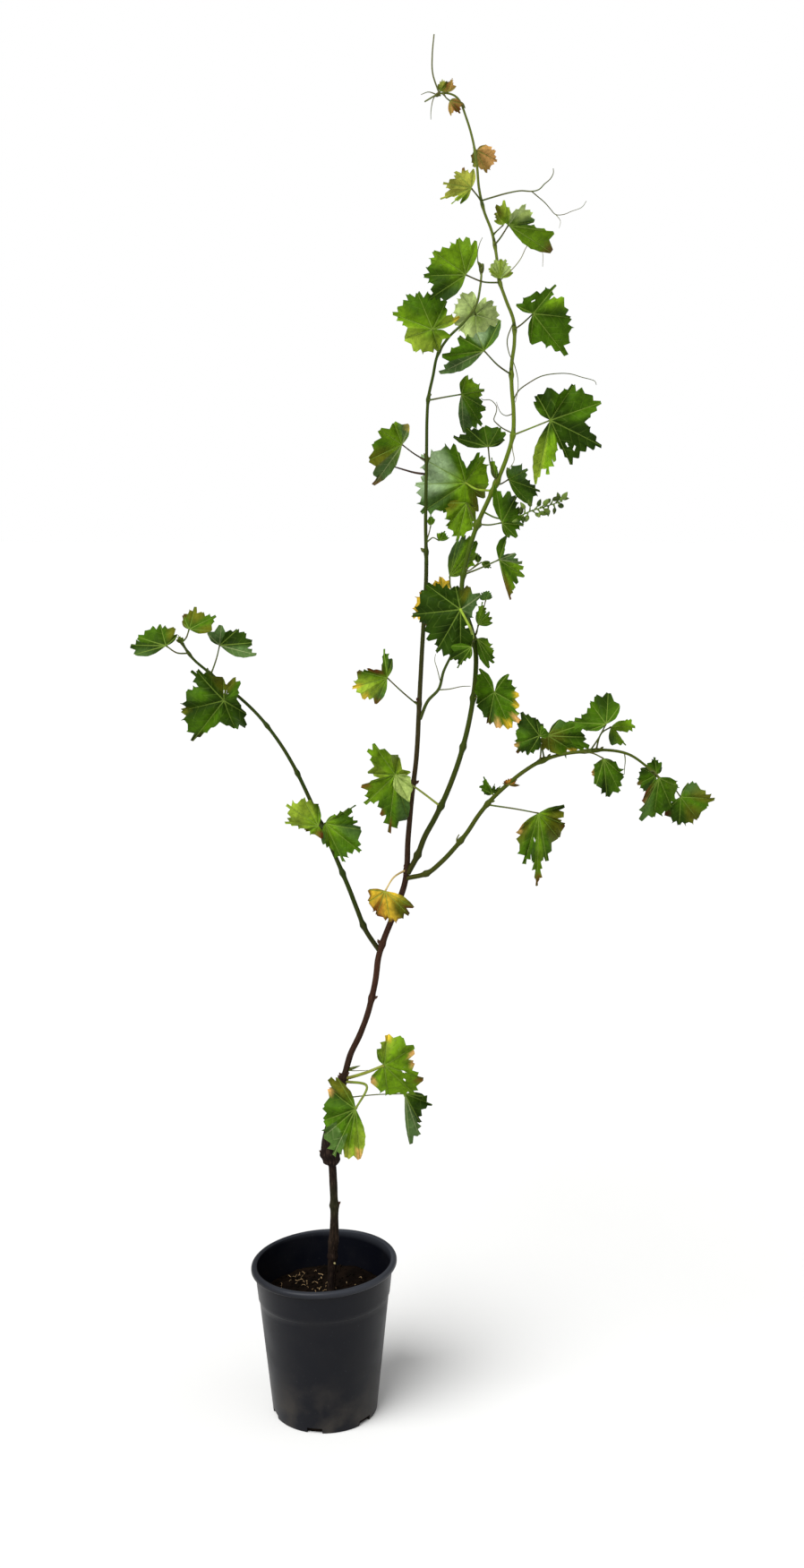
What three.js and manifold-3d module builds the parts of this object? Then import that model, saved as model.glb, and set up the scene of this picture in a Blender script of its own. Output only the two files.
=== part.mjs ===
// A young grafted grapevine in a soft black nursery pot.
// Millimetres, +Z up, -Y is the front. The origin is the centre of the pot's flat underside.
import * as THREE from "three";
import { mergeVertices } from "three/addons/utils/BufferGeometryUtils.js";
import Module from "manifold-3d";

const wasm = await Module();
wasm.setup();

const GAP = 0.3; // clear space between pieces that touch

// Pot: a thin tapering wall with a wider collar band under a rolled rim.
const POT_HEIGHT = 218;
const RIM_RADIUS = 100;
const RIM_DEPTH = 9; // height of the rolled bead
const NECK_RADIUS = 93; // outside of the wall just under the bead
const FOOT_RADIUS = 72.5;
const FOOT_ROUNDING = 2;
const WALL = 1.5;
const FLOOR = 3;
const COLLAR_DEPTH = 38; // band below the bead
const COLLAR_STEP = 1.2; // how far the band stands out from the wall
const RIM_DIP = 5; // the soft rim sits this much lower at -X, and higher at +X
const POT_SEGMENTS = 40;

// Drainage notches cut up into the foot of the wall.
const NOTCH_COUNT = 6;
const NOTCH_WIDTH = 21;
const NOTCH_HEIGHT = 8;
const NOTCH_REACH = 6; // how far a notch runs in from the outside of the wall
const NOTCH_BEARING = 261; // of the front notch, in degrees from +X

// Potting soil, level with the foot of the trunk.
const SOIL_LEVEL = 168;

// Stems. Each is one smooth curve through its points, cut into limbs at its bends.
// radii holds [distance along the stem, radius], and limbs holds [name, where it starts].
// A side stem leaves the stem that `from` names, at a distance along it.
const STEMS = {
  vine: {
    points: [
      [9, 0, 169], [12, -2, 227], [15, -3, 274], [14, -3, 319], [12, -2, 361], [9, -1, 383],
      [18, 0, 433], [29, 0, 480], [40, 1, 518], [54, 3, 547], [70, 5, 605], [77, 6, 652],
      [93, 6, 696], [111, 5, 749], [115, 3, 807], [120, 0, 866], [126, -2, 920], [129, -5, 982],
      [133, -5, 1063], [138, 0, 1154], [137, 4, 1215], [138, 10, 1291], [140, 15, 1371],
      [146, 14, 1400], [153, 12, 1429], [167, 14, 1449], [183, 15, 1464], [197, 15, 1479],
      [201, 13, 1498], [207, 10, 1519], [206, 8, 1535],
    ],
    radii: [
      [0, 6.8], [9, 5.8], [62, 6], [76, 7.4], [90, 6.2], [120, 5.5], [160, 5.3], [187, 5.3],
      [193, 12.4], [213, 11.8], [236, 10], [265, 7.8], [300, 5.6], [313, 5], [320, 4.1],
      [596, 4], [700, 3.3], [1015, 2.6], [1035, 2.2], [1250, 1.8], [1404, 1.3],
    ],
    limbs: [
      ["trunk", 0], ["cane_lower", 313], ["cane_middle", 596], ["left_leader", 1015],
      ["left_leader_tip", 1250],
    ],
    colour: 0x4a3429,
  },
  tall: {
    from: ["vine", 612],
    points: [
      [132, -6, 802], [159, -16, 858], [183, -26, 926], [198, -30, 1001], [200, -25, 1063],
      [183, -14, 1130], [189, -8, 1172], [204, -5, 1220], [229, 0, 1274], [247, 6, 1329],
      [244, 10, 1405], [247, 2, 1460], [227, -10, 1512], [220, -15, 1560], [203, -25, 1605],
      [194, -32, 1666], [178, -38, 1712], [168, -40, 1725], [149, -42, 1724], [134, -45, 1715],
    ],
    radii: [[0, 3.3], [255, 2.7], [481, 2.5], [631, 2.2], [850, 1.5], [1010, 1.1], [1052, 0.8]],
    limbs: [
      ["tall_shoot_foot", 0], ["tall_shoot_middle", 255], ["tall_shoot_upper", 481],
      ["tall_shoot_top", 631],
    ],
    colour: 0x5c7a34,
  },
  right: {
    from: ["vine", 603],
    points: [
      [142, -8, 765], [182, -28, 810], [220, -42, 867], [286, -60, 923], [349, -74, 937],
      [385, -80, 936], [426, -86, 908], [438, -88, 895],
    ],
    radii: [[0, 2.9], [250, 2.1], [420, 1.2]],
    limbs: [["right_shoot_inner", 0], ["right_shoot_outer", 250]],
    colour: 0x5c7a34,
  },
  left: {
    from: ["vine", 498],
    points: [
      [57, 14, 684], [39, 20, 730], [1, 34, 817], [-46, 48, 913], [-89, 58, 969],
      [-124, 64, 999], [-176, 64, 1045], [-186, 62, 1063],
    ],
    radii: [[0, 2.4], [180, 2], [495, 1.2]],
    limbs: [["left_shoot_inner", 0], ["left_shoot_outer", 179]],
    colour: 0x4d6a30,
  },
  side: {
    from: ["vine", 819],
    points: [[138, -8, 988], [152, -14, 1003], [162, -18, 1036], [171, -18, 1053]],
    radii: [[0, 1.7], [95, 1.2]],
    limbs: [["side_shoot", 0]],
    colour: 0x4d6a30,
  },
  tendril: {
    from: ["tall", 1034],
    points: [[144, -42, 1745], [143, -40, 1770], [145, -36, 1792]],
    radii: [[0, 0.9], [68, 0.7]],
    limbs: [["top_tendril", 0]],
    colour: 0x8a9a62,
  },
};
const LIMB_STEP = 30; // longest stretch between two rings of a limb
const LIMB_SIDES = 8;
const TRUNK_SIDES = 12;

// Foliage. Each mass is one leaf-shaped pad on its stalk, which leaves a stem at a distance along it.
// neck is where stalk and blade meet. Each vein runs from there to one lobe's tip: its bearing in
// degrees, seen from the front with 0 at +X and 90 straight up, its reach, and how much further back
// its tip lies. slope is how far the blade falls back for each millimetre along X and Z, cup is how
// far its rim bends back, and cut is how deep the bays between the lobes reach.
const LEAVES = {
  leaf_graft_right: { on: "vine", at: 315, neck: [84, -25, 506], slope: [0.15, -0.2], cup: 10, cut: 0.86,
    veins: [[235, 33], [275, 47], [310, 61], [335, 57], [390, 45], [445, 40], [475, 24]] },
  leaf_graft_hanging: { on: "vine", at: 285, neck: [111, 18, 450], slope: [0.9, 0], cup: 6, cut: 0.85,
    veins: [[275, 80], [285, 75], [292, 57], [325, 46], [337, 30]] },
  leaf_graft_front: { on: "vine", at: 310, via: [60, -26, 478], neck: [45, -30, 447], slope: [-0.25, 0],
    cup: 6, cut: 0.88,
    veins: [[120, 48], [150, 40], [207, 47], [226, 62, -6], [245, 70, -10], [260, 67, -8], [275, 67, -4]] },
  leaf_fork: { on: "vine", at: 612, via: [97, -12, 760], neck: [85, -22, 743], slope: [0, 0.5], cup: 8, cut: 0.92,
    veins: [[180, 21], [213, 25], [250, 33], [280, 39], [316, 43], [331, 43]] },
  leaf_left_curled: { on: "left", at: 184, neck: [-3, 8, 824], slope: [0.3, 0.3], cup: 8, cut: 0.8,
    veins: [[90, 24], [120, 40], [145, 50], [175, 44], [202, 18]] },
  leaf_left_inner: { on: "left", at: 176, neck: [6, 20, 825], slope: [-0.35, 0], cup: 8, cut: 0.85,
    veins: [[278, 32], [294, 57], [322, 58], [350, 47], [393, 48], [405, 16]] },
  leaf_left_hanging: { on: "left", at: 405, neck: [-128, 44, 985], slope: [0, -0.25], cup: 10, cut: 0.82,
    veins: [[90, 28], [133, 52], [195, 58], [232, 73], [286, 43], [325, 34]] },
  leaf_left_far: { on: "left", at: 475, neck: [-202, 40, 1058], slope: [0, 1.3], cup: 5, cut: 0.9,
    veins: [[40, 17], [115, 27], [167, 40], [180, 47], [195, 40]] },
  leaf_left_tip: { on: "left", at: 492, neck: [-172, 50, 1079], slope: [0, 1], cup: 5, cut: 0.85,
    veins: [[355, 29], [385, 37], [440, 27], [483, 19], [506, 13]] },
  leaf_left_folded: { on: "left", at: 435, neck: [-135, 75, 1055], slope: [-0.3, 0.9], cup: 5, cut: 0.85,
    veins: [[348, 51], [365, 43], [401, 29], [451, 24], [503, 23]] },
  leaf_mid_bright: { on: "tall", at: 105, neck: [98, -42, 901], slope: [0.15, -0.1], cup: 12, cut: 0.78,
    veins: [[77, 20], [124, 49], [176, 35], [198, 45], [227, 57], [264, 79], [285, 63]] },
  leaf_mid_left: { on: "vine", at: 835, neck: [88, -40, 1025], slope: [0.45, 0.2], cup: 8, cut: 0.82,
    veins: [[73, 23], [97, 35], [165, 37], [193, 44], [222, 39], [248, 36]] },
  leaf_mid_right: { on: "tall", at: 255, neck: [223, -62, 1009], slope: [-0.1, 0], cup: -14, cut: 0.85,
    veins: [[121, 38], [212, 25], [258, 37], [294, 47], [334, 33], [418, 30]] },
  leaf_centre_dark: { on: "tall", at: 330, neck: [179, -68, 1114], slope: [-0.1, 0], cup: 14, cut: 0.9,
    veins: [[30, 31, 24], [102, 28], [145, 50], [188, 59], [242, 62], [271, 66]] },
  leaf_centre_yellow: { on: "vine", at: 960, neck: [160, 28, 1121], slope: [0.2, 0.2], cup: 6, cut: 0.9,
    veins: [[65, 22], [95, 26], [165, 30], [213, 46], [235, 46]] },
  leaf_centre_low: { on: "tall", at: 325, neck: [202, -34, 1074], slope: [0.6, 0.3], cup: 5, cut: 0.85,
    veins: [[292, 41], [305, 39], [323, 25], [355, 12]] },
  leaf_stem_folded: { on: "tall", at: 385, neck: [168, 6, 1150], slope: [0.8, 0], cup: 6, cut: 0.9,
    veins: [[11, 18], [33, 43], [49, 56], [70, 54], [78, 45]] },
  leaf_lower_right: { on: "tall", at: 415, neck: [229, -32, 1173], slope: [0.7, 0.1], cup: 5, cut: 0.85,
    veins: [[286, 53], [326, 41], [351, 31], [378, 23], [431, 32]] },
  leaf_right_dark: { on: "tall", at: 480, neck: [232, -34, 1219], slope: [0.6, 0], cup: 6, cut: 0.85,
    veins: [[293, 20], [316, 27], [352, 29], [420, 37], [461, 48]] },
  leaf_blossom_right: { on: "tall", at: 535, neck: [243, 22, 1272], slope: [0.5, -0.2], cup: 8, cut: 0.9,
    veins: [[313, 44], [341, 45], [386, 29], [459, 14]] },
  leaf_big_right: { on: "tall", at: 600, neck: [290, -44, 1344], slope: [0.15, 0.1], cup: 12, cut: 0.82,
    veins: [[257, 80, -12], [296, 60], [335, 73], [379, 68], [416, 52], [478, 34]] },
  leaf_left_upper: { on: "vine", at: 1145, neck: [107, -16, 1315], slope: [0.7, 0], cup: 6, cut: 0.88,
    veins: [[70, 26], [111, 28], [147, 32], [205, 44], [235, 61]] },
  leaf_behind_large: { on: "tall", at: 525, neck: [189, 44, 1268], slope: [0.1, -0.15], cup: 10, cut: 0.86,
    veins: [[320, 32], [415, 39], [466, 50], [511, 66], [542, 64], [574, 69]] },
  leaf_behind_low: { on: "tall", at: 478, neck: [190, 34, 1242], slope: [0, 0.35], cup: 8, cut: 0.9,
    veins: [[180, 25], [231, 38], [256, 49], [283, 31], [334, 11]] },
  leaf_upright: { on: "vine", at: 1220, neck: [181, -20, 1376], slope: [0.9, 0], cup: 6, cut: 0.8,
    veins: [[274, 46], [306, 45], [333, 35], [371, 30], [435, 24]] },
  leaf_wedge: { on: "tall", at: 540, neck: [214, -30, 1312], slope: [0, -1.1], cup: 5, cut: 0.85,
    veins: [[20, 20], [62, 25], [105, 24], [141, 35], [165, 45]] },
  leaf_upper_bright: { on: "tall", at: 790, neck: [184, -48, 1516], slope: [0.25, -0.1], cup: 12, cut: 0.88,
    veins: [[72, 42], [103, 43], [146, 47], [181, 50], [213, 51]] },
  leaf_upper_left: { on: "vine", at: 1280, neck: [144, -36, 1453], slope: [-0.1, -0.1], cup: 10, cut: 0.88,
    veins: [[24, 37], [63, 39], [113, 46], [158, 52], [196, 35], [288, 26]] },
  leaf_pale_behind: { on: "vine", at: 1345, neck: [200, 38, 1476], slope: [0.1, 0.1], cup: 8, cut: 0.9,
    veins: [[125, 32], [202, 28], [272, 38], [346, 32], [400, 29]] },
  leaf_boat: { on: "tall", at: 675, neck: [208, -28, 1428], slope: [0.5, 0.3], cup: 6, cut: 0.85,
    veins: [[61, 44], [112, 23], [152, 35], [189, 53], [208, 62]] },
  leaf_upper_right: { on: "tall", at: 730, neck: [267, -44, 1471], slope: [0.15, -0.1], cup: 10, cut: 0.82,
    veins: [[266, 34], [310, 64], [356, 47], [411, 45], [516, 23]] },
  leaf_top_right: { on: "tall", at: 835, neck: [235, -52, 1573], slope: [0.1, -0.9], cup: 5, cut: 0.72,
    veins: [[334, 61], [353, 56], [367, 31], [412, 26], [471, 16]] },
  leaf_top_yellow: { on: "tall", at: 885, neck: [190, -48, 1616], slope: [0.3, 0], cup: 8, cut: 0.85,
    veins: [[82, 23], [134, 28], [171, 34], [199, 39], [235, 22]] },
  leaf_top_bronze: { on: "tall", at: 945, neck: [198, -8, 1666], slope: [0, -0.15], cup: 6, cut: 0.93,
    veins: [[215, 7], [258, 17], [296, 27], [338, 27], [397, 12]] },
  leaf_right_first: { on: "right", at: 250, neck: [278, -84, 958], slope: [0.1, 0.2], cup: 8, cut: 0.85,
    veins: [[62, 13], [99, 18], [127, 35], [201, 33], [241, 29]] },
  leaf_right_olive: { on: "right", at: 255, neck: [292, -52, 953], slope: [0.2, 0.8], cup: 6, cut: 0.88,
    veins: [[273, 16], [329, 39], [355, 48], [374, 47], [408, 23]] },
  leaf_right_crest: { on: "right", at: 315, neck: [359, -100, 975], slope: [-0.2, 0.9], cup: 5, cut: 0.9,
    veins: [[46, 28], [79, 34], [126, 28], [179, 45], [202, 23]] },
  leaf_right_small: { on: "right", at: 322, neck: [370, -66, 966], slope: [0.3, 0.3], cup: 3, cut: 0.62,
    veins: [[270, 22], [310, 31], [358, 31], [381, 19]] },
  leaf_right_hanging: { on: "right", at: 308, neck: [358, -92, 930], slope: [0.1, -0.1], cup: 8, cut: 0.93,
    veins: [[222, 12], [259, 36], [278, 51], [297, 49], [318, 36], [340, 14]] },
  leaf_right_upper: { on: "right", at: 400, neck: [429, -62, 905], slope: [0.3, 0.2], cup: 5, cut: 0.85,
    veins: [[35, 11], [94, 20], [158, 21], [206, 27], [243, 28]] },
  leaf_right_lower: { on: "right", at: 398, neck: [425, -110, 909], slope: [0.2, -0.3], cup: 6, cut: 0.85,
    veins: [[239, 34], [250, 60], [268, 54], [295, 45], [331, 31]] },
  leaf_right_end: { on: "right", at: 415, neck: [456, -90, 881], slope: [0.2, 0.1], cup: 6, cut: 0.85,
    veins: [[226, 28], [269, 36], [308, 38], [355, 44], [420, 18]] },
  leaf_right_drooping: { on: "right", at: 160, neck: [280, -70, 856], slope: [0.3, 0], cup: 8, cut: 0.8,
    veins: [[221, 34], [254, 66], [270, 97], [281, 67], [307, 47], [333, 39], [371, 35]] },
};
const STALK_RADIUS = 1.1;
const STALK_LEAD = 5.5; // straight stretch at each end of a stalk
const STALK_STEPS = 4;
const BLADE_HALF_THICKNESS = 1.2;
const MID_BLADE = 0.55; // share of the way out where the pad is thickest

// A mesh in the making: points, and triangles that face outwards.
class Surface {
  points = [];
  faces = [];

  add(point) {
    return this.points.push(point) - 1;
  }

  // Joins two rings of as many points each, both counter-clockwise about the way from one to the next.
  band(lower, upper) {
    lower.forEach((a, i) => {
      const j = (i + 1) % lower.length;
      this.faces.push([a, lower[j], upper[j]], [a, upper[j], upper[i]]);
    });
  }

  // Closes a ring with a fan about a point; the ring is counter-clockwise seen from outside.
  cap(centre, ring) {
    ring.forEach((a, i) => this.faces.push([centre, a, ring[(i + 1) % ring.length]]));
  }

  geometry() {
    const positions = this.points.flatMap((p) => p.toArray());
    const geometry = new THREE.BufferGeometry();
    geometry.setAttribute("position", new THREE.Float32BufferAttribute(positions, 3));
    geometry.setIndex(this.faces.flat());
    geometry.computeVertexNormals();
    return geometry;
  }
}

const vector = (values) => new THREE.Vector3(...values);

// A ring of points about a centre, in the plane of two unit vectors.
function ringAbout(centre, radius, sides, across, up) {
  return Array.from({ length: sides }, (_, i) => {
    const turn = (2 * Math.PI * i) / sides;
    return centre
      .clone()
      .addScaledVector(across, radius * Math.cos(turn))
      .addScaledVector(up, radius * Math.sin(turn));
  });
}

// The part of a vector that is square to a unit vector, at unit length.
function squareTo(v, unit) {
  return v.clone().addScaledVector(unit, -v.dot(unit)).normalize();
}

// ---- Pot and soil ----

const rimUnderside = POT_HEIGHT - RIM_DEPTH;
const wallRadius = (z) => FOOT_RADIUS + ((NECK_RADIUS - FOOT_RADIUS) * z) / rimUnderside;

// The soft pot leans: each level tips in step with its height.
function tipped(geometry) {
  const position = geometry.getAttribute("position");
  for (let i = 0; i < position.count; i++) {
    const rise = (RIM_DIP * position.getX(i) * position.getZ(i)) / (RIM_RADIUS * POT_HEIGHT);
    position.setZ(i, position.getZ(i) + rise);
  }
  return geometry;
}

// A solid turned about Z from a profile of [radius, height] that starts and ends on the axis.
function turned(profile, segments) {
  const points = profile.map(([radius, height]) => new THREE.Vector2(radius, height));
  return new THREE.LatheGeometry(points, segments).rotateX(Math.PI / 2);
}

function asSolid(geometry) {
  const bare = geometry.clone();
  bare.deleteAttribute("normal");
  bare.deleteAttribute("uv");
  const merged = mergeVertices(bare, 1e-3);
  const kept = [];
  for (let i = 0; i < merged.index.count; i += 3) {
    const [a, b, c] = merged.index.array.slice(i, i + 3);
    if (a !== b && b !== c && c !== a) kept.push(a, b, c);
  }
  const vertProperties = new Float32Array(merged.attributes.position.array);
  return new wasm.Manifold(new wasm.Mesh({ numProp: 3, vertProperties, triVerts: new Uint32Array(kept) }));
}

function asGeometry(solid) {
  const { vertProperties, triVerts } = solid.getMesh();
  const geometry = new THREE.BufferGeometry();
  geometry.setAttribute("position", new THREE.BufferAttribute(vertProperties, 3));
  geometry.setIndex(new THREE.BufferAttribute(triVerts, 1));
  geometry.computeVertexNormals();
  return geometry;
}

function potGeometry() {
  const collarFoot = rimUnderside - COLLAR_DEPTH;
  const bead = [
    [NECK_RADIUS + COLLAR_STEP, rimUnderside],
    [RIM_RADIUS - 1.5, rimUnderside - 0.5],
    [RIM_RADIUS, rimUnderside + 2],
    [RIM_RADIUS - 0.5, POT_HEIGHT - 2.5],
    [RIM_RADIUS - 2.5, POT_HEIGHT - 0.5],
    [RIM_RADIUS - 5, POT_HEIGHT],
    [NECK_RADIUS, POT_HEIGHT - 1],
  ];
  const profile = [
    [0, 0],
    [FOOT_RADIUS - FOOT_ROUNDING, 0],
    [FOOT_RADIUS, FOOT_ROUNDING],
    [wallRadius(collarFoot - COLLAR_STEP), collarFoot - COLLAR_STEP],
    [wallRadius(collarFoot) + COLLAR_STEP, collarFoot],
    ...bead,
    [NECK_RADIUS - WALL, rimUnderside],
    [wallRadius(FLOOR) - WALL, FLOOR],
    [0, FLOOR],
  ];
  let pot = asSolid(turned(profile, POT_SEGMENTS));
  for (let i = 0; i < NOTCH_COUNT; i++) {
    const bearing = THREE.MathUtils.degToRad(NOTCH_BEARING + (360 * i) / NOTCH_COUNT);
    const notch = new THREE.BoxGeometry(2 * NOTCH_REACH, NOTCH_WIDTH, 2 * NOTCH_HEIGHT);
    notch.translate(FOOT_RADIUS, 0, 0).rotateZ(bearing);
    pot = pot.subtract(asSolid(notch));
  }
  return tipped(asGeometry(pot));
}

function soilGeometry() {
  const foot = FLOOR + GAP;
  const inside = (z) => wallRadius(z) - WALL - GAP;
  const profile = [[0, foot], [inside(foot), foot], [inside(SOIL_LEVEL), SOIL_LEVEL], [0, SOIL_LEVEL]];
  return tipped(turned(profile, POT_SEGMENTS));
}

// ---- Stems ----

// A stem's curve, its length and its radius at any distance along it.
class Stem {
  constructor({ from, points, radii, limbs }, stems) {
    const through = points.map(vector);
    if (from) through.unshift(...stems[from[0]].shoulder(from[1], through[0], 1.2 * radii[0][1]));
    this.curve = new THREE.CatmullRomCurve3(through, false, "centripetal");
    this.curve.arcLengthDivisions = 1000;
    this.length = this.curve.getLength();
    this.radii = radii;
    this.limbs = limbs.map(([name, start], i) => {
      const from = i === 0 ? 0 : start + GAP / 2;
      const to = i + 1 < limbs.length ? limbs[i + 1][1] - GAP / 2 : this.length;
      return { name, rings: this.ringDistances(from, to) };
    });
  }

  point(distance) {
    return this.curve.getPointAt(Math.min(distance / this.length, 1));
  }

  tangent(distance) {
    return this.curve.getTangentAt(Math.min(distance / this.length, 1));
  }

  radius(distance) {
    const after = this.radii.findIndex(([d]) => d >= distance);
    if (after < 0) return this.radii.at(-1)[1];
    if (after === 0) return this.radii[0][1];
    const [[d0, r0], [d1, r1]] = this.radii.slice(after - 1, after + 1);
    return THREE.MathUtils.mapLinear(distance, d0, d1, r0, r1);
  }

  // Where something that grows towards a target leaves this stem: a seat just clear of the bark,
  // and a point a little way straight out from it.
  shoulder(distance, target, lead) {
    const centre = this.facetPoint(distance);
    const out = squareTo(target.clone().sub(centre), this.tangent(distance));
    const seat = centre.addScaledVector(out, this.radius(distance) + GAP);
    return [seat, seat.clone().addScaledVector(out, lead)];
  }

  // A point on the straight line between the rings on either side.
  facetPoint(distance) {
    const rings = this.limbs.flatMap((limb) => limb.rings);
    const after = rings.findIndex((d) => d > distance);
    const [before, next] = rings.slice(after - 1, after + 1);
    return this.point(before).lerp(this.point(next), (distance - before) / (next - before));
  }

  // Distances of the rings of a limb: where the taper changes, and evenly in between.
  ringDistances(start, end) {
    const marks = [start, ...this.radii.map(([d]) => d).filter((d) => d > start && d < end), end];
    return marks.slice(1).reduce((rings, mark, i) => {
      const steps = Math.ceil((mark - marks[i]) / LIMB_STEP);
      for (let k = 1; k <= steps; k++) rings.push(marks[i] + ((mark - marks[i]) * k) / steps);
      return rings;
    }, [start]);
  }

  limbGeometry(distances, sides, flatFoot) {
    const limb = new Surface();
    const rings = distances.map((distance, i) => {
      const along = i === 0 && flatFoot ? new THREE.Vector3(0, 0, 1) : this.tangent(distance);
      const across = squareTo(new THREE.Vector3(0, 1, 0), along);
      const up = along.clone().cross(across);
      return ringAbout(this.point(distance), this.radius(distance), sides, across, up);
    });
    const indexed = rings.map((ring) => ring.map((p) => limb.add(p)));
    indexed.slice(1).forEach((ring, i) => limb.band(indexed[i], ring));
    limb.cap(limb.add(this.point(distances[0])), indexed[0].toReversed());
    limb.cap(limb.add(this.point(distances.at(-1))), indexed.at(-1));
    return limb.geometry();
  }
}

// ---- Foliage ----

// Directions and points of a blade, worked out from its slope, cup and veins.
class Blade {
  constructor({ neck, slope, cup, cut, veins }) {
    Object.assign(this, { slope, cup });
    this.neck = vector(neck);
    this.face = new THREE.Vector3(slope[0], -1, slope[1]).normalize();
    const bearings = veins.map(([bearing]) => bearing);
    this.middle = (bearings[0] + bearings.at(-1)) / 2;
    this.halfSpan = (bearings.at(-1) - bearings[0]) / 2;
    this.outline = veins.flatMap(([bearing, reach, back = 0], i) => {
      const lobe = [bearing, reach, back];
      if (i === 0) return [lobe];
      const [b0, r0, back0 = 0] = veins[i - 1];
      return [[(b0 + bearing) / 2, (cut * (r0 + reach)) / 2, (back0 + back) / 2], lobe];
    });
  }

  // Unit vector in the plane of the blade at a bearing.
  towards(bearing) {
    const angle = THREE.MathUtils.degToRad(bearing);
    const [x, z] = [Math.cos(angle), Math.sin(angle)];
    return new THREE.Vector3(x, this.slope[0] * x + this.slope[1] * z, z).normalize();
  }

  // A point of the blade a share of the way out to a lobe's tip or a bay.
  out([bearing, reach, back], share) {
    const angle = THREE.MathUtils.degToRad(bearing);
    const [x, z] = [share * reach * Math.cos(angle), share * reach * Math.sin(angle)];
    const y = this.slope[0] * x + this.slope[1] * z + (this.cup + back) * share * share;
    return this.neck.clone().add(new THREE.Vector3(x, y, z));
  }

  // The ring where the stalk ends: left, front, right and back of the neck.
  neckRing() {
    const side = (this.halfSpan + 180) / 2;
    const offsets = [
      this.towards(this.middle + side),
      this.face,
      this.towards(this.middle - side),
      this.face.clone().negate(),
    ];
    return offsets.map((offset) => this.neck.clone().addScaledVector(offset, STALK_RADIUS));
  }
}

// The stalk's rings, from its seat on the stem to just before the neck.
function stalkRings(stem, at, via, blade) {
  const middle = blade.towards(blade.middle);
  const beforeNeck = blade.neck.clone().addScaledVector(middle, -STALK_LEAD);
  const through = via ? [vector(via), beforeNeck] : [beforeNeck];
  const route = [...stem.shoulder(at, through[0], STALK_LEAD), ...through, blade.neck];
  const curve = new THREE.CatmullRomCurve3(route, false, "centripetal");
  let across = blade.face.clone().cross(middle);
  return Array.from({ length: STALK_STEPS }, (_, i) => {
    const u = 1 - (i + 1) / STALK_STEPS;
    const along = curve.getTangentAt(u);
    across = squareTo(across, along);
    return ringAbout(curve.getPointAt(u), STALK_RADIUS, 4, across, along.clone().cross(across));
  }).reverse();
}

// One face of the blade, as a fan of two bands about the stalk's end.
function bladeFace(surface, centre, right, left, middles, rim, flipped) {
  const spokes = [right, ...middles, left];
  const edge = [right, ...rim, left];
  const triangles = [];
  spokes.slice(1).forEach((spoke, i) => triangles.push([centre, spokes[i], spoke]));
  edge.slice(1).forEach((point, i) => {
    if (spokes[i] !== edge[i]) triangles.push([spokes[i], edge[i], point]);
    if (spokes[i + 1] !== point) triangles.push([spokes[i], point, spokes[i + 1]]);
  });
  surface.faces.push(...triangles.map(([a, b, c]) => (flipped ? [a, c, b] : [a, b, c])));
}

function leafGeometry({ on, at, via, ...shape }, stems) {
  const blade = new Blade(shape);
  const leaf = new Surface();
  const stalk = stalkRings(stems[on], at, via, blade);
  const rings = [...stalk, blade.neckRing()].map((ring) => ring.map((p) => leaf.add(p)));
  rings.slice(1).forEach((ring, i) => leaf.band(rings[i], ring));
  const foot = stalk[0].reduce((sum, p) => sum.add(p), new THREE.Vector3()).divideScalar(4);
  leaf.cap(leaf.add(foot), rings[0].toReversed());
  const [left, front, right, back] = rings.at(-1);
  const rim = blade.outline.map((mark) => leaf.add(blade.out(mark, 1)));
  const middlesOn = (side) =>
    blade.outline.map((mark) => {
      const point = blade.out(mark, MID_BLADE);
      return leaf.add(point.addScaledVector(blade.face, side * BLADE_HALF_THICKNESS));
    });
  bladeFace(leaf, front, right, left, middlesOn(1), rim, false);
  bladeFace(leaf, back, right, left, middlesOn(-1), rim, true);
  return leaf.geometry();
}

// ---- The whole plant ----

const part = new THREE.Group();

function addPiece(name, geometry, material) {
  const mesh = new THREE.Mesh(geometry, material);
  mesh.name = name;
  part.add(mesh);
}

const plastic = new THREE.MeshStandardMaterial({ color: 0x2b2e31, roughness: 0.45, metalness: 0 });
const peat = new THREE.MeshStandardMaterial({ color: 0x2a201a, roughness: 1, metalness: 0 });
const foliage = new THREE.MeshStandardMaterial({ color: 0x4a7a26, roughness: 0.6, metalness: 0 });

addPiece("pot", potGeometry(), plastic);
addPiece("soil", soilGeometry(), peat);

const stems = {};
for (const [name, description] of Object.entries(STEMS)) {
  const stem = (stems[name] = new Stem(description, stems));
  const bark = new THREE.MeshStandardMaterial({ color: description.colour, roughness: 0.8, metalness: 0 });
  for (const { name: limb, rings } of stem.limbs) {
    const isTrunk = limb === "trunk";
    addPiece(limb, stem.limbGeometry(rings, isTrunk ? TRUNK_SIDES : LIMB_SIDES, isTrunk), bark);
  }
}

for (const [name, leaf] of Object.entries(LEAVES)) {
  addPiece(name, leafGeometry(leaf, stems), foliage);
}

export default part;
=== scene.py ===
import math
import random

import bpy
import numpy as np
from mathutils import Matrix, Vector, noise


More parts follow.
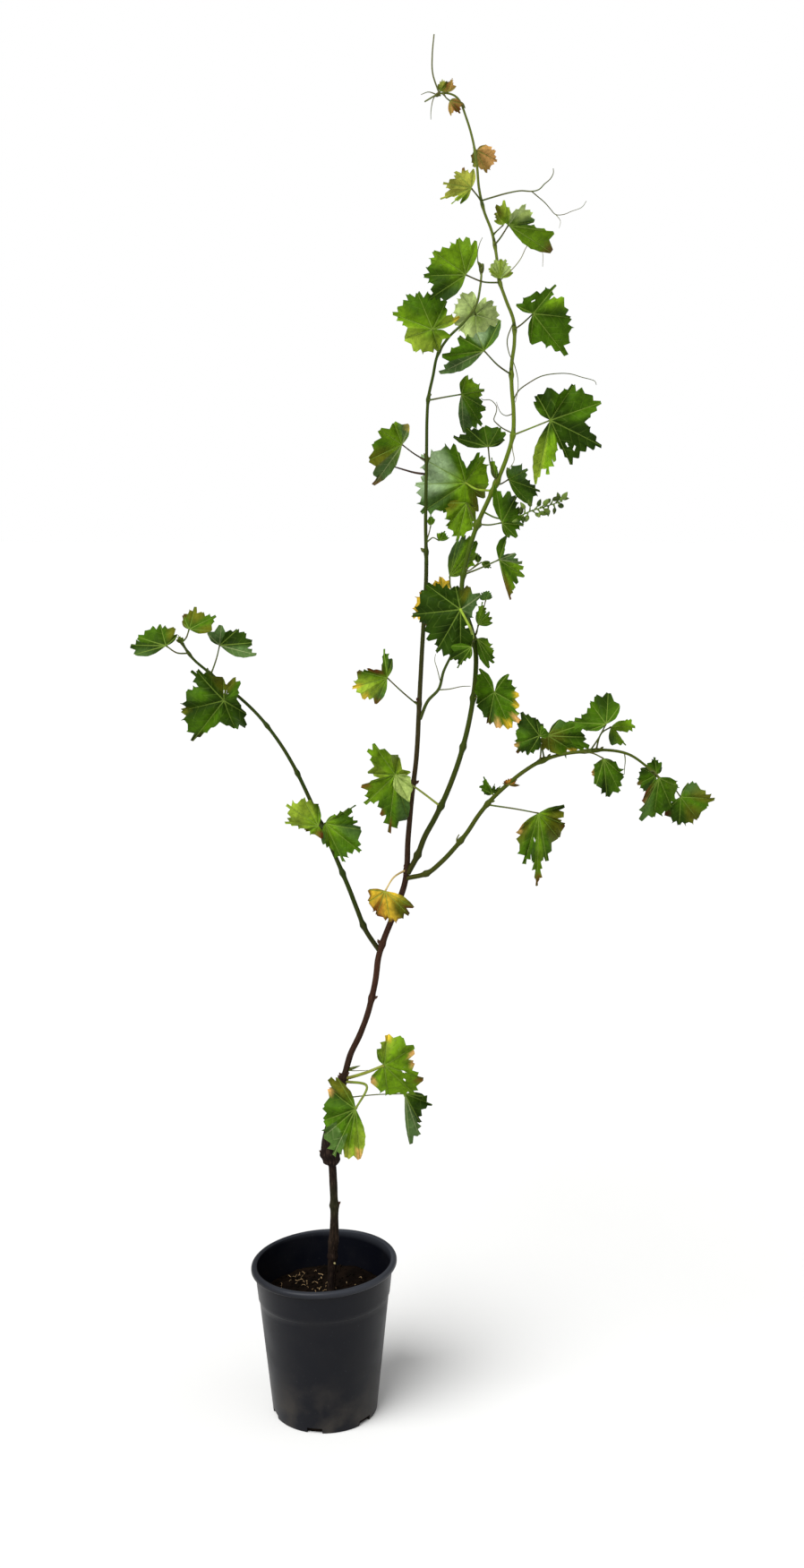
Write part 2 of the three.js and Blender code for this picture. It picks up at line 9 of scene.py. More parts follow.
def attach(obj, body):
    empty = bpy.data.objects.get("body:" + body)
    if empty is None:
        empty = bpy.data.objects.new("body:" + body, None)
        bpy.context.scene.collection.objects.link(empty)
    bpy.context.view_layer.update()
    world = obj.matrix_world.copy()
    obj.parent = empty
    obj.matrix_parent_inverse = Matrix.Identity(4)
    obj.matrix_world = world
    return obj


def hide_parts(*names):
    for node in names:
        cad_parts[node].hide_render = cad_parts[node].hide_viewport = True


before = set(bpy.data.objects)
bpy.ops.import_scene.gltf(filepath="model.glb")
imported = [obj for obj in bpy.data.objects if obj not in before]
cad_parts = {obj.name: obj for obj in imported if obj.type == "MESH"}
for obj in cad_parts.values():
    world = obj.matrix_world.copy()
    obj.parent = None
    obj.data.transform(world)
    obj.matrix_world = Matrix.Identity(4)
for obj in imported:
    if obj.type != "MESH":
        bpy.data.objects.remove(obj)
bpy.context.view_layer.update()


# ---- Camera ----
# It stands in front of the vine at about head height and looks a little down on it, so that the
# pot's soil shows over the rim and the tip of the top tendril stays in view.
CAMERA_PLACE = (0.107, -2.2, 1.281)
CAMERA_DIP = math.radians(10.3)
CAMERA_LENS, CAMERA_SENSOR = 26.26, 24.0


def in_scene(name, data, turn=(0.0, 0.0, 0.0)):
    """An object made from its data, turned and put in the scene."""
    made = bpy.data.objects.new(name, data)
    made.rotation_euler = turn
    bpy.context.scene.collection.objects.link(made)
    return made


camera_data = bpy.data.cameras.new("camera")
camera_data.sensor_fit = "VERTICAL"
camera_data.sensor_height = CAMERA_SENSOR
camera_data.lens = CAMERA_LENS
camera = in_scene("camera", camera_data, (math.pi / 2 - CAMERA_DIP, 0.0, 0.0))
camera.location = CAMERA_PLACE
bpy.context.scene.camera = camera


# ---- Studio ----
# A plain pale floor under even white light. A broad soft lamp from the upper left gives the leaves
# some modelling, and a weaker one from the right opens up the shaded sides.
FLOOR_HALF = 30.0
FLOOR_COLOUR = (0.88, 0.88, 0.87, 1.0)
WHITE = (1.0, 1.0, 1.0, 1.0)
SKY_STRENGTH = 0.28
# Strength of each lamp, how soft it is and which way it turns, in degrees.
LAMPS = {"key_lamp": (3.6, 50, (44, 0, -40)), "fill_lamp": (0.6, 90, (55, 0, 48))}


def filled(tree, node, sockets):
    """A node with its inputs set to plain values or joined to other nodes' outputs."""
    for name, value in sockets.items():
        if isinstance(value, bpy.types.NodeSocket):
            tree.links.new(value, node.inputs[name])
        else:
            node.inputs[name].default_value = value
    return node


def added(tree, kind, sockets, **settings):
    """The outputs of a new shader node with its settings and inputs."""
    node = tree.nodes.new("ShaderNode" + kind)
    for name, value in settings.items():
        setattr(node, name, value)
    return filled(tree, node, sockets).outputs


def finish(name, look, *values):
    """A material. Its look makes the nodes and gives what goes into the surface shader."""
    material = bpy.data.materials.new(name)
    material.use_nodes = True
    tree = material.node_tree
    filled(tree, tree.nodes["Principled BSDF"], look(tree, *values))
    return material


def mesh_object(name, points, faces, *materials):
    """A smooth-shaded mesh object made of points and faces, with its materials."""
    mesh = bpy.data.meshes.new(name)
    mesh.from_pydata([tuple(p) for p in points], [], [tuple(f) for f in faces])
    for material in materials:
        mesh.materials.append(material)
    mesh.shade_smooth()
    return in_scene(name, mesh)


def floor_paint(tree):
    return {"Base Color": FLOOR_COLOUR, "Roughness": 0.9}


floor_corners = [(x * FLOOR_HALF, y * FLOOR_HALF, 0.0) for x, y in ((-1, -1), (1, -1), (1, 1), (-1, 1))]
floor = mesh_object("floor", floor_corners, [(0, 1, 2, 3)], finish("floor_paint", floor_paint))

for lamp_name, (strength, spread, tilt) in LAMPS.items():
    light = bpy.data.lights.new(lamp_name, "SUN")
    light.energy = strength
    light.angle = math.radians(spread)
    in_scene(lamp_name, light, [math.radians(a) for a in tilt])

world = bpy.data.worlds.new("studio")
world.use_nodes = True
sky = world.node_tree
sky_light = filled(sky, sky.nodes["Background"], {"Color": WHITE, "Strength": SKY_STRENGTH})
backdrop = added(sky, "Background", {"Color": WHITE})
seen_directly = added(sky, "LightPath", {})["Is Camera Ray"]
either = added(sky, "MixShader", {0: seen_directly, 1: sky_light.outputs[0], 2: backdrop[0]})
filled(sky, sky.nodes["World Output"], {"Surface": either[0]})
bpy.context.scene.world = world
bpy.context.scene.view_settings.view_transform = "Standard"


# ---- Pot ----
# One thin injection-moulded shell of soft black plastic: a tapering wall, a wider collar band under
# a rolled rim, and drainage notches moulded into the foot. It has been handled, so it is dusty near
# the ground, lightly scuffed, and its soft rim dips to one side.
POT_HEIGHT = 0.218
POT_RIM_RADIUS = 0.100
POT_NECK_RADIUS = 0.093
POT_FOOT_RADIUS = 0.0725
POT_WALL = 0.0015
POT_FLOOR = 0.003
BEAD_FOOT = POT_HEIGHT - 0.009
COLLAR_FOOT = BEAD_FOOT - 0.038
POT_STEP, COLLAR_SLOPE = 0.0012, 0.002
POT_DIP = 0.005
POT_SIDES = 160
FOOT_ROUND, BEAD_UNDER, BEAD_OVER = 0.002, 0.0035, 0.0045
NOTCHES = 6
NOTCH_SIZE = (0.012, 0.021, 0.016)
NOTCH_BEARING = 261
BLOCK = np.array([(x, y, z) for x in (-0.5, 0.5) for y in (-0.5, 0.5) for z in (-0.5, 0.5)])
BLOCK_FACES = [(0, 1, 3, 2), (4, 6, 7, 5), (0, 4, 5, 1), (2, 3, 7, 6), (0, 2, 6, 4), (1, 5, 7, 3)]
DUSTY_TO = 0.09
PLASTIC_COLOUR = (0.0027, 0.0031, 0.0056, 1.0)
# The rim bead's lighter colour is partly wear and partly a painted highlight where the bead catches the
# light.
PLASTIC_RIM_HIGHLIGHT_AND_WEAR = (0.030, 0.033, 0.041, 1.0)
PLASTIC_DUST = (0.10, 0.085, 0.065, 1.0)
PLASTIC_SCUFF = (0.11, 0.115, 0.12, 1.0)


def pot_wall_radius(z):
    return POT_FOOT_RADIUS + (POT_NECK_RADIUS - POT_FOOT_RADIUS) * z / BEAD_FOOT


def tipped(points):
    """The pot leans: each level tips in step with its height."""
    points = np.array(points, float)
    points[:, 2] += POT_DIP * points[:, 0] * points[:, 2] / (POT_RIM_RADIUS * POT_HEIGHT)
    return points


def turns(sides):
    return np.arange(sides) * 2 * math.pi / sides


def banded(rings):
    """Faces between rings of point numbers. A ring may be one point, repeated."""
    rings = np.array(rings)
    low, high = rings[:-1], rings[1:]
    quads = np.stack([low, np.roll(low, -1, 1), np.roll(high, -1, 1), high], -1).reshape(-1, 4)
    return [tuple(dict.fromkeys(quad)) for quad in quads.tolist()]


def turned(profile, sides):
    """Points and faces of a profile of (radius, height) turned about Z, closed on the axis."""
    points, rings = [], []
    for radius, height in profile:
        ring = [(radius * math.cos(a), radius * math.sin(a), height) for a in turns(sides if radius else 1)]
        rings.append(len(points) + np.arange(sides) % len(ring))
        points += ring
    return points, banded(rings)


def straight(profile, end, steps):
    """Carries a profile on to an end in even steps."""
    start = profile[-1]
    profile += [tuple(p + (q - p) * k / steps for p, q in zip(start, end)) for k in range(1, steps + 1)]


def arc(profile, centre, radius, start, end, steps):
    """Carries a profile on round an arc, by degrees."""
    angles = [math.radians(start + (end - start) * k / steps) for k in range(steps + 1)]
    profile += [(centre[0] + radius * math.cos(a), centre[1] + radius * math.sin(a)) for a in angles]


def joined(parts):
    points, faces = [], []
    for part_points, part_faces in parts:
        faces += [tuple(i + len(points) for i in face) for face in part_faces]
        points.extend(part_points)
    return points, faces


def settled(piece, slot, *nodes):
    """Puts a piece on the pot's body, in place of the CAD nodes that it stands for."""
    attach(piece, "root")
    if nodes:
        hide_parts(*nodes)


def mixed(tree, amount, a, b):
    return added(tree, "Mix", {0: amount, 6: a, 7: b}, data_type="RGBA")[2]


def ranged(tree, value, low, high, to_low=0.0, to_high=1.0):
    """A value carried from one range to another, and held at its ends."""
    return added(tree, "MapRange", {0: value, 1: low, 2: high, 3: to_low, 4: to_high})[0]


def calculated(tree, operation, a, b=0.0):
    return added(tree, "Math", {0: a, 1: b}, operation=operation)[0]


def times(tree, a, b):
    return calculated(tree, "MULTIPLY", a, b)


def bumped(tree, height, distance, strength=1.0):
    return added(tree, "Bump", {"Height": height, "Distance": distance, "Strength": strength})[0]


def surface(colour, roughness, gloss, normal):
    """What a look gives to the surface shader."""
    return {"Base Color": colour, "Roughness": roughness, "Specular IOR Level": gloss, "Normal": normal}


def new_group(name, inputs, outputs):
    """An empty node group, what comes into it, and its output node."""
    group = bpy.data.node_groups.new(name, "ShaderNodeTree")
    for way, sockets in (("INPUT", inputs), ("OUTPUT", outputs)):
        for socket, kind in sockets.items():
            group.interface.new_socket(socket, in_out=way, socket_type="NodeSocket" + kind)
    return group, group.nodes.new("NodeGroupInput").outputs, group.nodes.new("NodeGroupOutput")


def wear_group():
    """Soft blotches and fine specks over any surface, from its place in the room."""
    group, given, result = new_group("wear", {"Blotch Scale": "Float", "Speck Scale": "Float"},
                                     {"Blotches": "Float", "Specks": "Float"})
    place = added(group, "TexCoord", {})["Object"]
    for scale, mask, low, high in (("Blotch Scale", "Blotches", 0.42, 0.68),
                                   ("Speck Scale", "Specks", 0.66, 0.74)):
        cloud = added(group, "TexNoise", {"Vector": place, "Scale": given[scale], "Detail": 4.0})[0]
        filled(group, result, {mask: ranged(group, cloud, low, high)})
    return group


WEAR = wear_group()


def worn(tree, blotch_scale, speck_scale):
    scales = {"Blotch Scale": blotch_scale, "Speck Scale": speck_scale}
    return added(tree, "Group", scales, node_tree=WEAR)


def pot_plastic(tree):
    wear = worn(tree, 26.0, 420.0)
    place = added(tree, "TexCoord", {})["Object"]
    height = added(tree, "SeparateXYZ", {0: place})["Z"]
    # Painted highlight, with some wear: the plastic grows lighter up the rim bead towards its top.
    plain = mixed(tree, ranged(tree, height, BEAD_FOOT, POT_HEIGHT), PLASTIC_COLOUR, PLASTIC_RIM_HIGHLIGHT_AND_WEAR)
    dust = times(tree, wear["Blotches"], ranged(tree, height, 0.0, DUSTY_TO, 0.30, 0.02))
    dusty = mixed(tree, dust, plain, PLASTIC_DUST)
    scuffed = mixed(tree, times(tree, wear["Specks"], 0.12), dusty, PLASTIC_SCUFF)
    grain = added(tree, "TexNoise", {"Vector": place, "Scale": 900.0})[0]
    roughness = ranged(tree, wear["Blotches"], 0.0, 1.0, 0.36, 0.46)
    return surface(scuffed, roughness, 0.15, bumped(tree, grain, 0.0001, 0.5))


profile = [(0.0, 0.0), (0.035, 0.0)]
straight(profile, (POT_FOOT_RADIUS - FOOT_ROUND, 0.0), 3)
arc(profile, (POT_FOOT_RADIUS - FOOT_ROUND, FOOT_ROUND), FOOT_ROUND, -60, 0, 4)
straight(profile, (pot_wall_radius(COLLAR_FOOT - COLLAR_SLOPE), COLLAR_FOOT - COLLAR_SLOPE), 24)
straight(profile, (pot_wall_radius(COLLAR_FOOT) + POT_STEP, COLLAR_FOOT), 3)
straight(profile, (POT_NECK_RADIUS + POT_STEP, BEAD_FOOT - 0.0006), 8)
arc(profile, (POT_RIM_RADIUS - BEAD_UNDER, BEAD_FOOT + BEAD_UNDER), BEAD_UNDER, -100, 8, 8)
arc(profile, (POT_RIM_RADIUS - BEAD_OVER, POT_HEIGHT - BEAD_OVER), BEAD_OVER, 12, 108, 8)
straight(profile, (POT_NECK_RADIUS - 0.0008, POT_HEIGHT - 0.0016), 2)
straight(profile, (POT_NECK_RADIUS - POT_WALL, BEAD_FOOT), 3)
straight(profile, (pot_wall_radius(POT_FLOOR) - POT_WALL, POT_FLOOR), 30)
profile.append((0.0, POT_FLOOR))
pot_shell = mesh_object("pot_shell", *turned(profile, POT_SIDES), finish("pot_plastic", pot_plastic))

notch_blocks = []
for k in range(NOTCHES):
    turn = math.radians(NOTCH_BEARING + 360 * k / NOTCHES)
    swing = [(math.cos(turn), math.sin(turn), 0), (-math.sin(turn), math.cos(turn), 0), (0, 0, 1)]
    notch_blocks.append(((BLOCK * NOTCH_SIZE + (POT_FOOT_RADIUS, 0, 0)) @ swing, BLOCK_FACES))
notches = mesh_object("notches", *joined(notch_blocks))
cut = pot_shell.modifiers.new("cut", "BOOLEAN")
cut.object = notches
cut.operation = "DIFFERENCE"
cut.solver = "EXACT"
cut_pot = pot_shell.evaluated_get(bpy.context.evaluated_depsgraph_get())
cut_mesh = bpy.data.meshes.new_from_object(cut_pot)
pot_shell.modifiers.clear()
pot_shell.data = cut_mesh
bpy.data.objects.remove(notches)
for vertex, place in zip(cut_mesh.vertices, tipped([v.co for v in cut_mesh.vertices])):
    vertex.co = place
cut_mesh.shade_smooth()
cut_mesh.set_sharp_from_angle(angle=math.radians(35))
settled(pot_shell, "plastic", "pot")


# ---- Soil ----
# Dark moist peat fills the pot to a hand's breadth of the rim. Its top is crumbly, with loose clods
# and pale straw fibres lying on it, most of them to the left of the trunk.
SOIL_LEVEL = 0.168
SOIL_FOOT = 0.0033
SOIL_GAP = 0.0004
SOIL_RELIEF = 0.0035
SOIL_RINGS = 42
# How many, how far they keep from the edge, and how much they keep to the left.
SOIL_CLODS = (520, 0.003, 0.2)
SOIL_STRAWS = (95, 0.014, 0.6)
CLOD_FACES = [(0, 4, 2), (2, 4, 1), (1, 4, 3), (3, 4, 0), (2, 5, 0), (1, 5, 2), (3, 5, 1), (0, 5, 3)]
PEAT_COLOUR = (0.0035, 0.0022, 0.0015, 1.0)
PEAT_LIGHT = (0.020, 0.011, 0.006, 1.0)
STRAW_COLOUR = (0.42, 0.28, 0.13, 1.0)
STRAW_DARK = (0.22, 0.13, 0.06, 1.0)
soil_random = random.Random(11)
soil_edge = pot_wall_radius(SOIL_LEVEL) - POT_WALL - SOIL_GAP


def soil_height(x, y):
    coarse = noise.noise(Vector((x, y, 0.3)) * 38)
    fine = noise.noise(Vector((x, y, 7.1)) * 150)
    return SOIL_LEVEL - 0.001 + SOIL_RELIEF * (0.8 * coarse + 0.5 * fine)


def peat(tree):
    wear = worn(tree, 60.0, 700.0)
    crumbs = calculated(tree, "MAXIMUM", wear["Specks"], times(tree, wear["Blotches"], 0.35))
    colour = mixed(tree, crumbs, PEAT_COLOUR, PEAT_LIGHT)
    return surface(colour, 0.95, 0.04, bumped(tree, wear["Specks"], 0.0008, 0.8))


def straw(tree):
    patchy = worn(tree, 90.0, 300.0)["Blotches"]
    return {"Base Color": mixed(tree, patchy, STRAW_COLOUR, STRAW_DARK), "Roughness": 0.7}


def somewhere_on_soil(margin, lean):
    """A place on the soil, more often towards -X the more it leans."""
    turn = soil_random.uniform(0, 2 * math.pi)
    if soil_random.random() < lean:
        turn = math.pi + soil_random.gauss(0, 0.8)
    radius = (soil_edge - margin) * math.sqrt(soil_random.random())
    return radius * math.cos(turn), radius * math.sin(turn)


def clod(x, y):
    """A small angular lump: an uneven eight-sided block."""
    size = soil_random.uniform(0.0008, 0.0030)
    corners = []
    for axis in range(3):
        for sign in (-1, 1):
            corner = [x, y, soil_height(x, y) + 0.3 * size]
            corner[axis] += sign * size * soil_random.uniform(0.5, 1.0)
            corners.append([c + soil_random.uniform(-0.2, 0.2) * size for c in corner])
    return corners, CLOD_FACES


def fibre(x, y):
    """A flat straw lying on the soil, bent a little."""
    length, bearing = soil_random.uniform(0.003, 0.009), soil_random.uniform(0, math.pi)
    width = soil_random.uniform(0.0005, 0.0010)
    start, points = (x, y), []
    for share in (0, 0.25, 0.5, 0.75, 1):
        turn = bearing + 0.5 * (share - 0.5) * soil_random.uniform(0.4, 1.6)
        x, y = start[0] + share * length * math.cos(turn), start[1] + share * length * math.sin(turn)
        z = soil_height(x, y) + 0.0012 + 0.0025 * math.sin(math.pi * share) * soil_random.random()
        side = (-math.sin(turn) * width / 2, math.cos(turn) * width / 2)
        points += [(x - side[0], y - side[1], z), (x + side[0], y + side[1], z), (x, y, z + width / 2)]
    faces = [(0, 2, 1), (12, 13, 14)]
    for a in range(0, 12, 3):
        faces += [(a, a + 3, a + 5, a + 2), (a + 2, a + 5, a + 4, a + 1), (a + 1, a + 4, a + 3, a)]
    return points, faces


def strewn(name, count, margin, lean, bit, material):
    points, faces = joined([bit(*somewhere_on_soil(margin, lean)) for _ in range(count)])
    settled(mesh_object(name, tipped(points), faces, material), "soil")


profile = [(0.0, SOIL_FOOT), (pot_wall_radius(SOIL_FOOT) - POT_WALL - SOIL_GAP, SOIL_FOOT)]
profile += [(soil_edge * k / SOIL_RINGS, SOIL_LEVEL) for k in range(SOIL_RINGS, -1, -1)]
soil_points, soil_faces = turned(profile, POT_SIDES)
soil_points = [(x, y, soil_height(x, y) if z > SOIL_FOOT else z) for x, y, z in soil_points]
peat_material = finish("peat", peat)
settled(mesh_object("soil_bed", tipped(soil_points), soil_faces, peat_material), "soil", "soil")
strewn("soil_clods", *SOIL_CLODS, clod, peat_material)
strewn("soil_straws", *SOIL_STRAWS, fibre, finish("straw", straw))


# ---- Trunk and old cane ----
# The rootstock rises from the soil to a swollen graft, from which the old cane goes on. Both are
# brown wood in stringy, fissured bark that lifts in long flakes, with a thicker ring at each node.
VINE_LIMBS = ("trunk", "cane_lower", "cane_middle", "left_leader", "left_leader_tip")
SHOOT_LIMBS = {
    "tall": ("tall_shoot_foot", "tall_shoot_middle", "tall_shoot_upper", "tall_shoot_top"),
    "right": ("right_shoot_inner", "right_shoot_outer"),
    "left": ("left_shoot_inner", "left_shoot_outer"),
    "side": ("side_shoot",),
    "tendril": ("top_tendril",),
}
TRUNK_END, CANE_END, PAST_TIP = 0.313, 1.015, 2.0
LIMB_CAP_SPOKES = 8
WOOD_STEP = 0.0015
WOOD_SIDES = 44
# Spacing of the nodes on a bare stretch, and where it starts and ends.
BARE_STRETCH = (0.075, 0.055, 1.38)
WOOD_SWELLING, NODE_REACH = 0.22, 0.0042
FURROWS_PER_M, FURROW_DEPTH = 22, 0.09
KNOBS_PER_M, KNOB_HEIGHT = 60, 0.07
SHOOT_SUNK, SHOOT_STEP, TIP_STEP = 0.0035, 0.0025, 0.0015
CURVE_STEPS = 12
SEAM = 1e-9
BARK_STREAKS = {"Stretch": (3.2, 3.2, 70.0), "Scale": 1.6, "Detail": 7.0, "Roughness": 0.65}
BARK_FLAKE = (0.18, 0.115, 0.075, 1.0)
# Painted shade: the near-black put into the bark's fissures.
BARK_FISSURE_SHADE = (0.008, 0.005, 0.004, 1.0)
# Everyday colours by distance along the vine in mm.
BARK_TINTS = ("0 17 10 7, 60 25 15 10, 110 25 19 11, 128 33 34 15, 150 28 27 13, 170 26 16 10, "
              "200 22 13 10, 300 32 20 12, 330 42 26 17, 480 56 32 20, 590 46 28 18, 700 52 38 21, "
              "850 50 50 19, 1020 46 58 14")


def numbers(text):
    """Rows of numbers written as text, with commas between the rows."""
    return np.array([[float(n) for n in row.split()] for row in text.split(",")])


def linear(colour):
    """Linear light from an everyday 0 to 255 colour."""
    return [((c / 255 + 0.055) / 1.055) ** 2.4 if c > 10 else c / 3294.6 for c in colour]


def solid_graph(node):
    """The corner points of a CAD solid, welded, and the neighbours of each."""
    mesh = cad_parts[node].data
    loose = np.array([v.co for v in mesh.vertices], float)
    points, place = np.unique(np.round(loose, 5), axis=0, return_inverse=True)
    neighbours = [set() for _ in points]
    for edge in mesh.edges:
        a, b = place.ravel()[list(edge.vertices)]
        if a != b:
            neighbours[a].add(b)
            neighbours[b].add(a)
    return points, neighbours


def layers_from(start, neighbours):
    """Rings of points, one after another, walking away from the middle of a cap."""
    seen, rings = {start}, [[start]]
    while rings[-1]:
        layer = set().union(*(neighbours[p] for p in rings[-1])) - seen
        seen |= layer
        rings.append(sorted(layer))
    return rings[1:-1]


def limb_line(node):
    """Middle and radius of each ring of a limb, from its thick end to its thin one."""
    points, neighbours = solid_graph(node)
    cap = next(p for p, near in enumerate(neighbours) if len(near) >= LIMB_CAP_SPOKES)
    rings = [points[ring] for ring in layers_from(cap, neighbours)[:-1]]
    line = [(ring.mean(0), np.linalg.norm(ring - ring.mean(0), axis=1).mean()) for ring in rings]
    return line if line[0][1] >= line[-1][1] else line[::-1]


def smooth_line(points, step, values=None):
    """Even points on a smooth curve through others: with their values, or else their share of the way."""
    points = np.array(points, float)
    values = np.linspace(0, 1, len(points)) if values is None else values
    ends = np.vstack([2 * points[0] - points[1], points, 2 * points[-1] - points[-2]])
    t = np.linspace(0, 1, CURVE_STEPS, endpoint=False)[:, None]
    dense = []
    for p0, p1, p2, p3 in zip(ends, ends[1:], ends[2:], ends[3:]):
        dense.append(0.5 * (2 * p1 + (p2 - p0) * t + (2 * p0 - 5 * p1 + 4 * p2 - p3) * t**2
                            + (3 * p1 - p0 - 3 * p2 + p3) * t**3))
    dense = np.vstack(dense + [points[-1:]])
    marks = np.append(0, np.cumsum(np.linalg.norm(np.diff(dense, axis=0), axis=1)))
    even = np.linspace(0, marks[-1], max(2, int(round(marks[-1] / step)) + 1))
    line = np.stack([np.interp(even, marks, dense[:, axis]) for axis in range(3)], axis=1)
    return line, np.interp(even, marks[::CURVE_STEPS], values), even


def unit(vector):
    return np.array(vector) / np.linalg.norm(vector)


def whole_stem(limbs, step, sunk):
    """A stem through all its limbs: points, radii and distances. A side stem starts sunk in its parent."""
    rows = []
    for limb in limbs:
        line = limb_line(limb)
        rows += line[1:] if rows else line
    points, radii = zip(*rows)
    return smooth_line([points[0] + unit(points[0] - points[1]) * sunk, *points[1:]], step, radii)


def along_frames(line):
    """Unit vectors across and up at each point of a line, carried along without twisting."""
    tangents = np.gradient(line, axis=0)
    tangents /= np.linalg.norm(tangents, axis=1)[:, None]
    side = np.cross(tangents[0], (0.0, 1.0, 0.0) if abs(tangents[0][1]) < 0.9 else (1.0, 0.0, 0.0))
    across = []
    for tangent in tangents:
        side = unit(side - tangent * side.dot(tangent))
        across.append(side)
    return np.array(across), np.cross(tangents, across)


def round_stem(line, girths, sides=0):
    """A closed tube about a line, from its radius at each ring, or at each ring and side."""
    if sides:
        girths = np.repeat(girths[:, None], sides, axis=1)
    across, up = along_frames(line)
    angles = turns(girths.shape[1])[:, None]
    spokes = np.cos(angles) * across[:, None] + np.sin(angles) * up[:, None]
    points = (line[:, None] + spokes * girths[:, :, None]).reshape(-1, 3)
    rings = np.arange(girths.size).reshape(girths.shape)
    start, end = (np.full_like(rings[:1], girths.size + n) for n in (0, 1))
    return np.vstack([points, line[[0, -1]]]), banded(np.vstack([start, rings, end]))


def add_colours(piece, colours, domain="POINT"):
    """A colour for each point or corner of a piece."""
    layer = piece.data.color_attributes.new("tint", "FLOAT_COLOR", domain)
    layer.data.foreach_set("color", np.insert(colours, 3, 1.0, axis=1).astype(np.float32).ravel())


def add_places(piece, name, places):
    """A vector for each point of a piece, for patterns that run along it."""
    layer = piece.data.attributes.new(name, "FLOAT_VECTOR", "POINT")
    layer.data.foreach_set("vector", np.asarray(places, np.float32).ravel())


def add_map(piece, spots):
    layer = piece.data.uv_layers.new(name="OFBake")
    layer.data.foreach_set("uv", np.asarray(spots, np.float32).ravel())


def strip_map(rings, sides):
    """The map that lays a tube out in side-by-side strips. Its two end caps share one spot."""
    strips = max(1, round(math.sqrt(rings / sides)))
    per_strip = math.ceil((rings - 1) / strips)
    ring, side = np.divmod(np.arange((rings - 1) * sides)[:, None], sides)
    strip, row = np.divmod(ring, per_strip)
    u = (strip + 0.04 + 0.92 * (side + [0, 1, 1, 0]) / sides) / strips
    v = 0.01 + 0.98 * (row + [0, 0, 1, 1]) / per_strip
    cap = np.full((3 * sides, 2), 0.001)
    return np.concatenate([cap, np.stack([u, v], -1).reshape(-1, 2), cap])


def tints_along(stops, distances):
    """Linear colours at distances, blended between stops."""
    stops = numbers(stops)
    channels = zip(*(linear(stop[1:]) for stop in stops))
    return np.stack([np.interp(distances, stops[:, 0] / 1000, channel) for channel in channels], axis=1)


def swollen(stem, share):
    """Radii of a stem, thicker by a share at its nodes."""
    _, radii, distances = STEMS[stem]
    bulge = sum(np.exp(-((distances - node) / NODE_REACH) ** 2) for node in STEM_NODES[stem])
    return radii * (1 + share * bulge)


def build_stem(name, stem, start, end, girths, tints, material, slot, nodes):
    line, _, distances = STEMS[stem]
    kept = (distances >= start - SEAM) & (distances <= end + SEAM)
    line, girths, distances = line[kept], girths[kept], distances[kept]
    rings, sides = girths.shape
    piece = mesh_object(name, *round_stem(line, girths), material)
    around = [(math.cos(a), math.sin(a)) for a in turns(sides)]
    places = [(x, y, distance) for distance in distances for x, y in around]
    add_places(piece, "stem_place", places + [(0, 0, distances[0]), (0, 0, distances[-1])])
    colours = tints_along(tints, distances)
    add_colours(piece, np.vstack([np.repeat(colours, sides, 0), colours[[0, -1]]]))
    add_map(piece, strip_map(rings, sides))
    settled(piece, slot, *nodes)


def streaks_group():
    inputs = {"Stem Place": "Vector", "Stretch": "Vector", "Scale": "Float", "Detail": "Float",
              "Roughness": "Float"}
    group, given, result = new_group("stem_streaks", inputs, {"Streaks": "Float"})
    drawn = added(group, "VectorMath", {0: given[0], 1: given[1]}, operation="MULTIPLY")[0]
    settings = {name: given[name] for name in ("Scale", "Detail", "Roughness")}
    filled(group, result, {0: added(group, "TexNoise", {"Vector": drawn, **settings})[0]})
    return group


STREAKS = streaks_group()


def attribute(tree, name, output):
    """A colour or a vector kept in a piece's mesh."""
    return added(tree, "Attribute", {}, attribute_name=name)[output]


def stem_skin(tree, streaks, high, high_tint, low, painted_shade_tint, roughness, gloss, relief, strength):
    """A stem's own colours, changed on its raised streaks, and darkened with painted shade in the hollows
    between them.
    """
    place = attribute(tree, "stem_place", "Vector")
    height = added(tree, "Group", {"Stem Place": place, **streaks}, node_tree=STREAKS)[0]
    # Painted shade: the low parts of the streaks, which are the hollows of the bump, are darkened.
    shaded = mixed(tree, ranged(tree, height, *low), attribute(tree, "tint", "Color"), painted_shade_tint)
    colour = mixed(tree, ranged(tree, height, *high), shaded, high_tint)
    return surface(colour, roughness, gloss, bumped(tree, height, relief, strength))


def stalk_and_blade(node):
    """What a leaf's CAD pad says: its stalk's line, its slope, and its rim's marks."""
    points, neighbours = solid_graph(node)

    def spread(p):
        return max(np.linalg.norm(points[n] - points[p]) for n in neighbours[p])

    foot = min((p for p in range(len(points)) if len(neighbours[p]) == 4), key=spread)
    rings = layers_from(foot, neighbours)[:5]
    stalk = np.array([points[ring].mean(0) for ring in rings])
    hub = sorted(rings[4], key=lambda p: -len(neighbours[p]))[:2]
    front, back = sorted(hub, key=lambda p: points[p][1])
    facing = points[front] - points[back]
    known = {foot}.union(*rings, neighbours[front], neighbours[back])
    rim = points[[p for p in range(len(points)) if p not in known]] - stalk[-1]
    bearings = np.arctan2(rim[:, 2], rim[:, 0])
    order = np.argsort(bearings)
    steps = np.diff(np.append(bearings[order], bearings[order][0] + 2 * math.pi))
    rim = rim[np.roll(order, -(int(np.argmax(steps)) + 1))]
    slope = facing[[0, 2]] / -facing[1]
    cup = rim[:, 1] - rim[:, [0, 2]] @ slope
    return {"stalk": stalk, "slope": slope, "rim": rim[:, [0, 2]], "cup": cup}


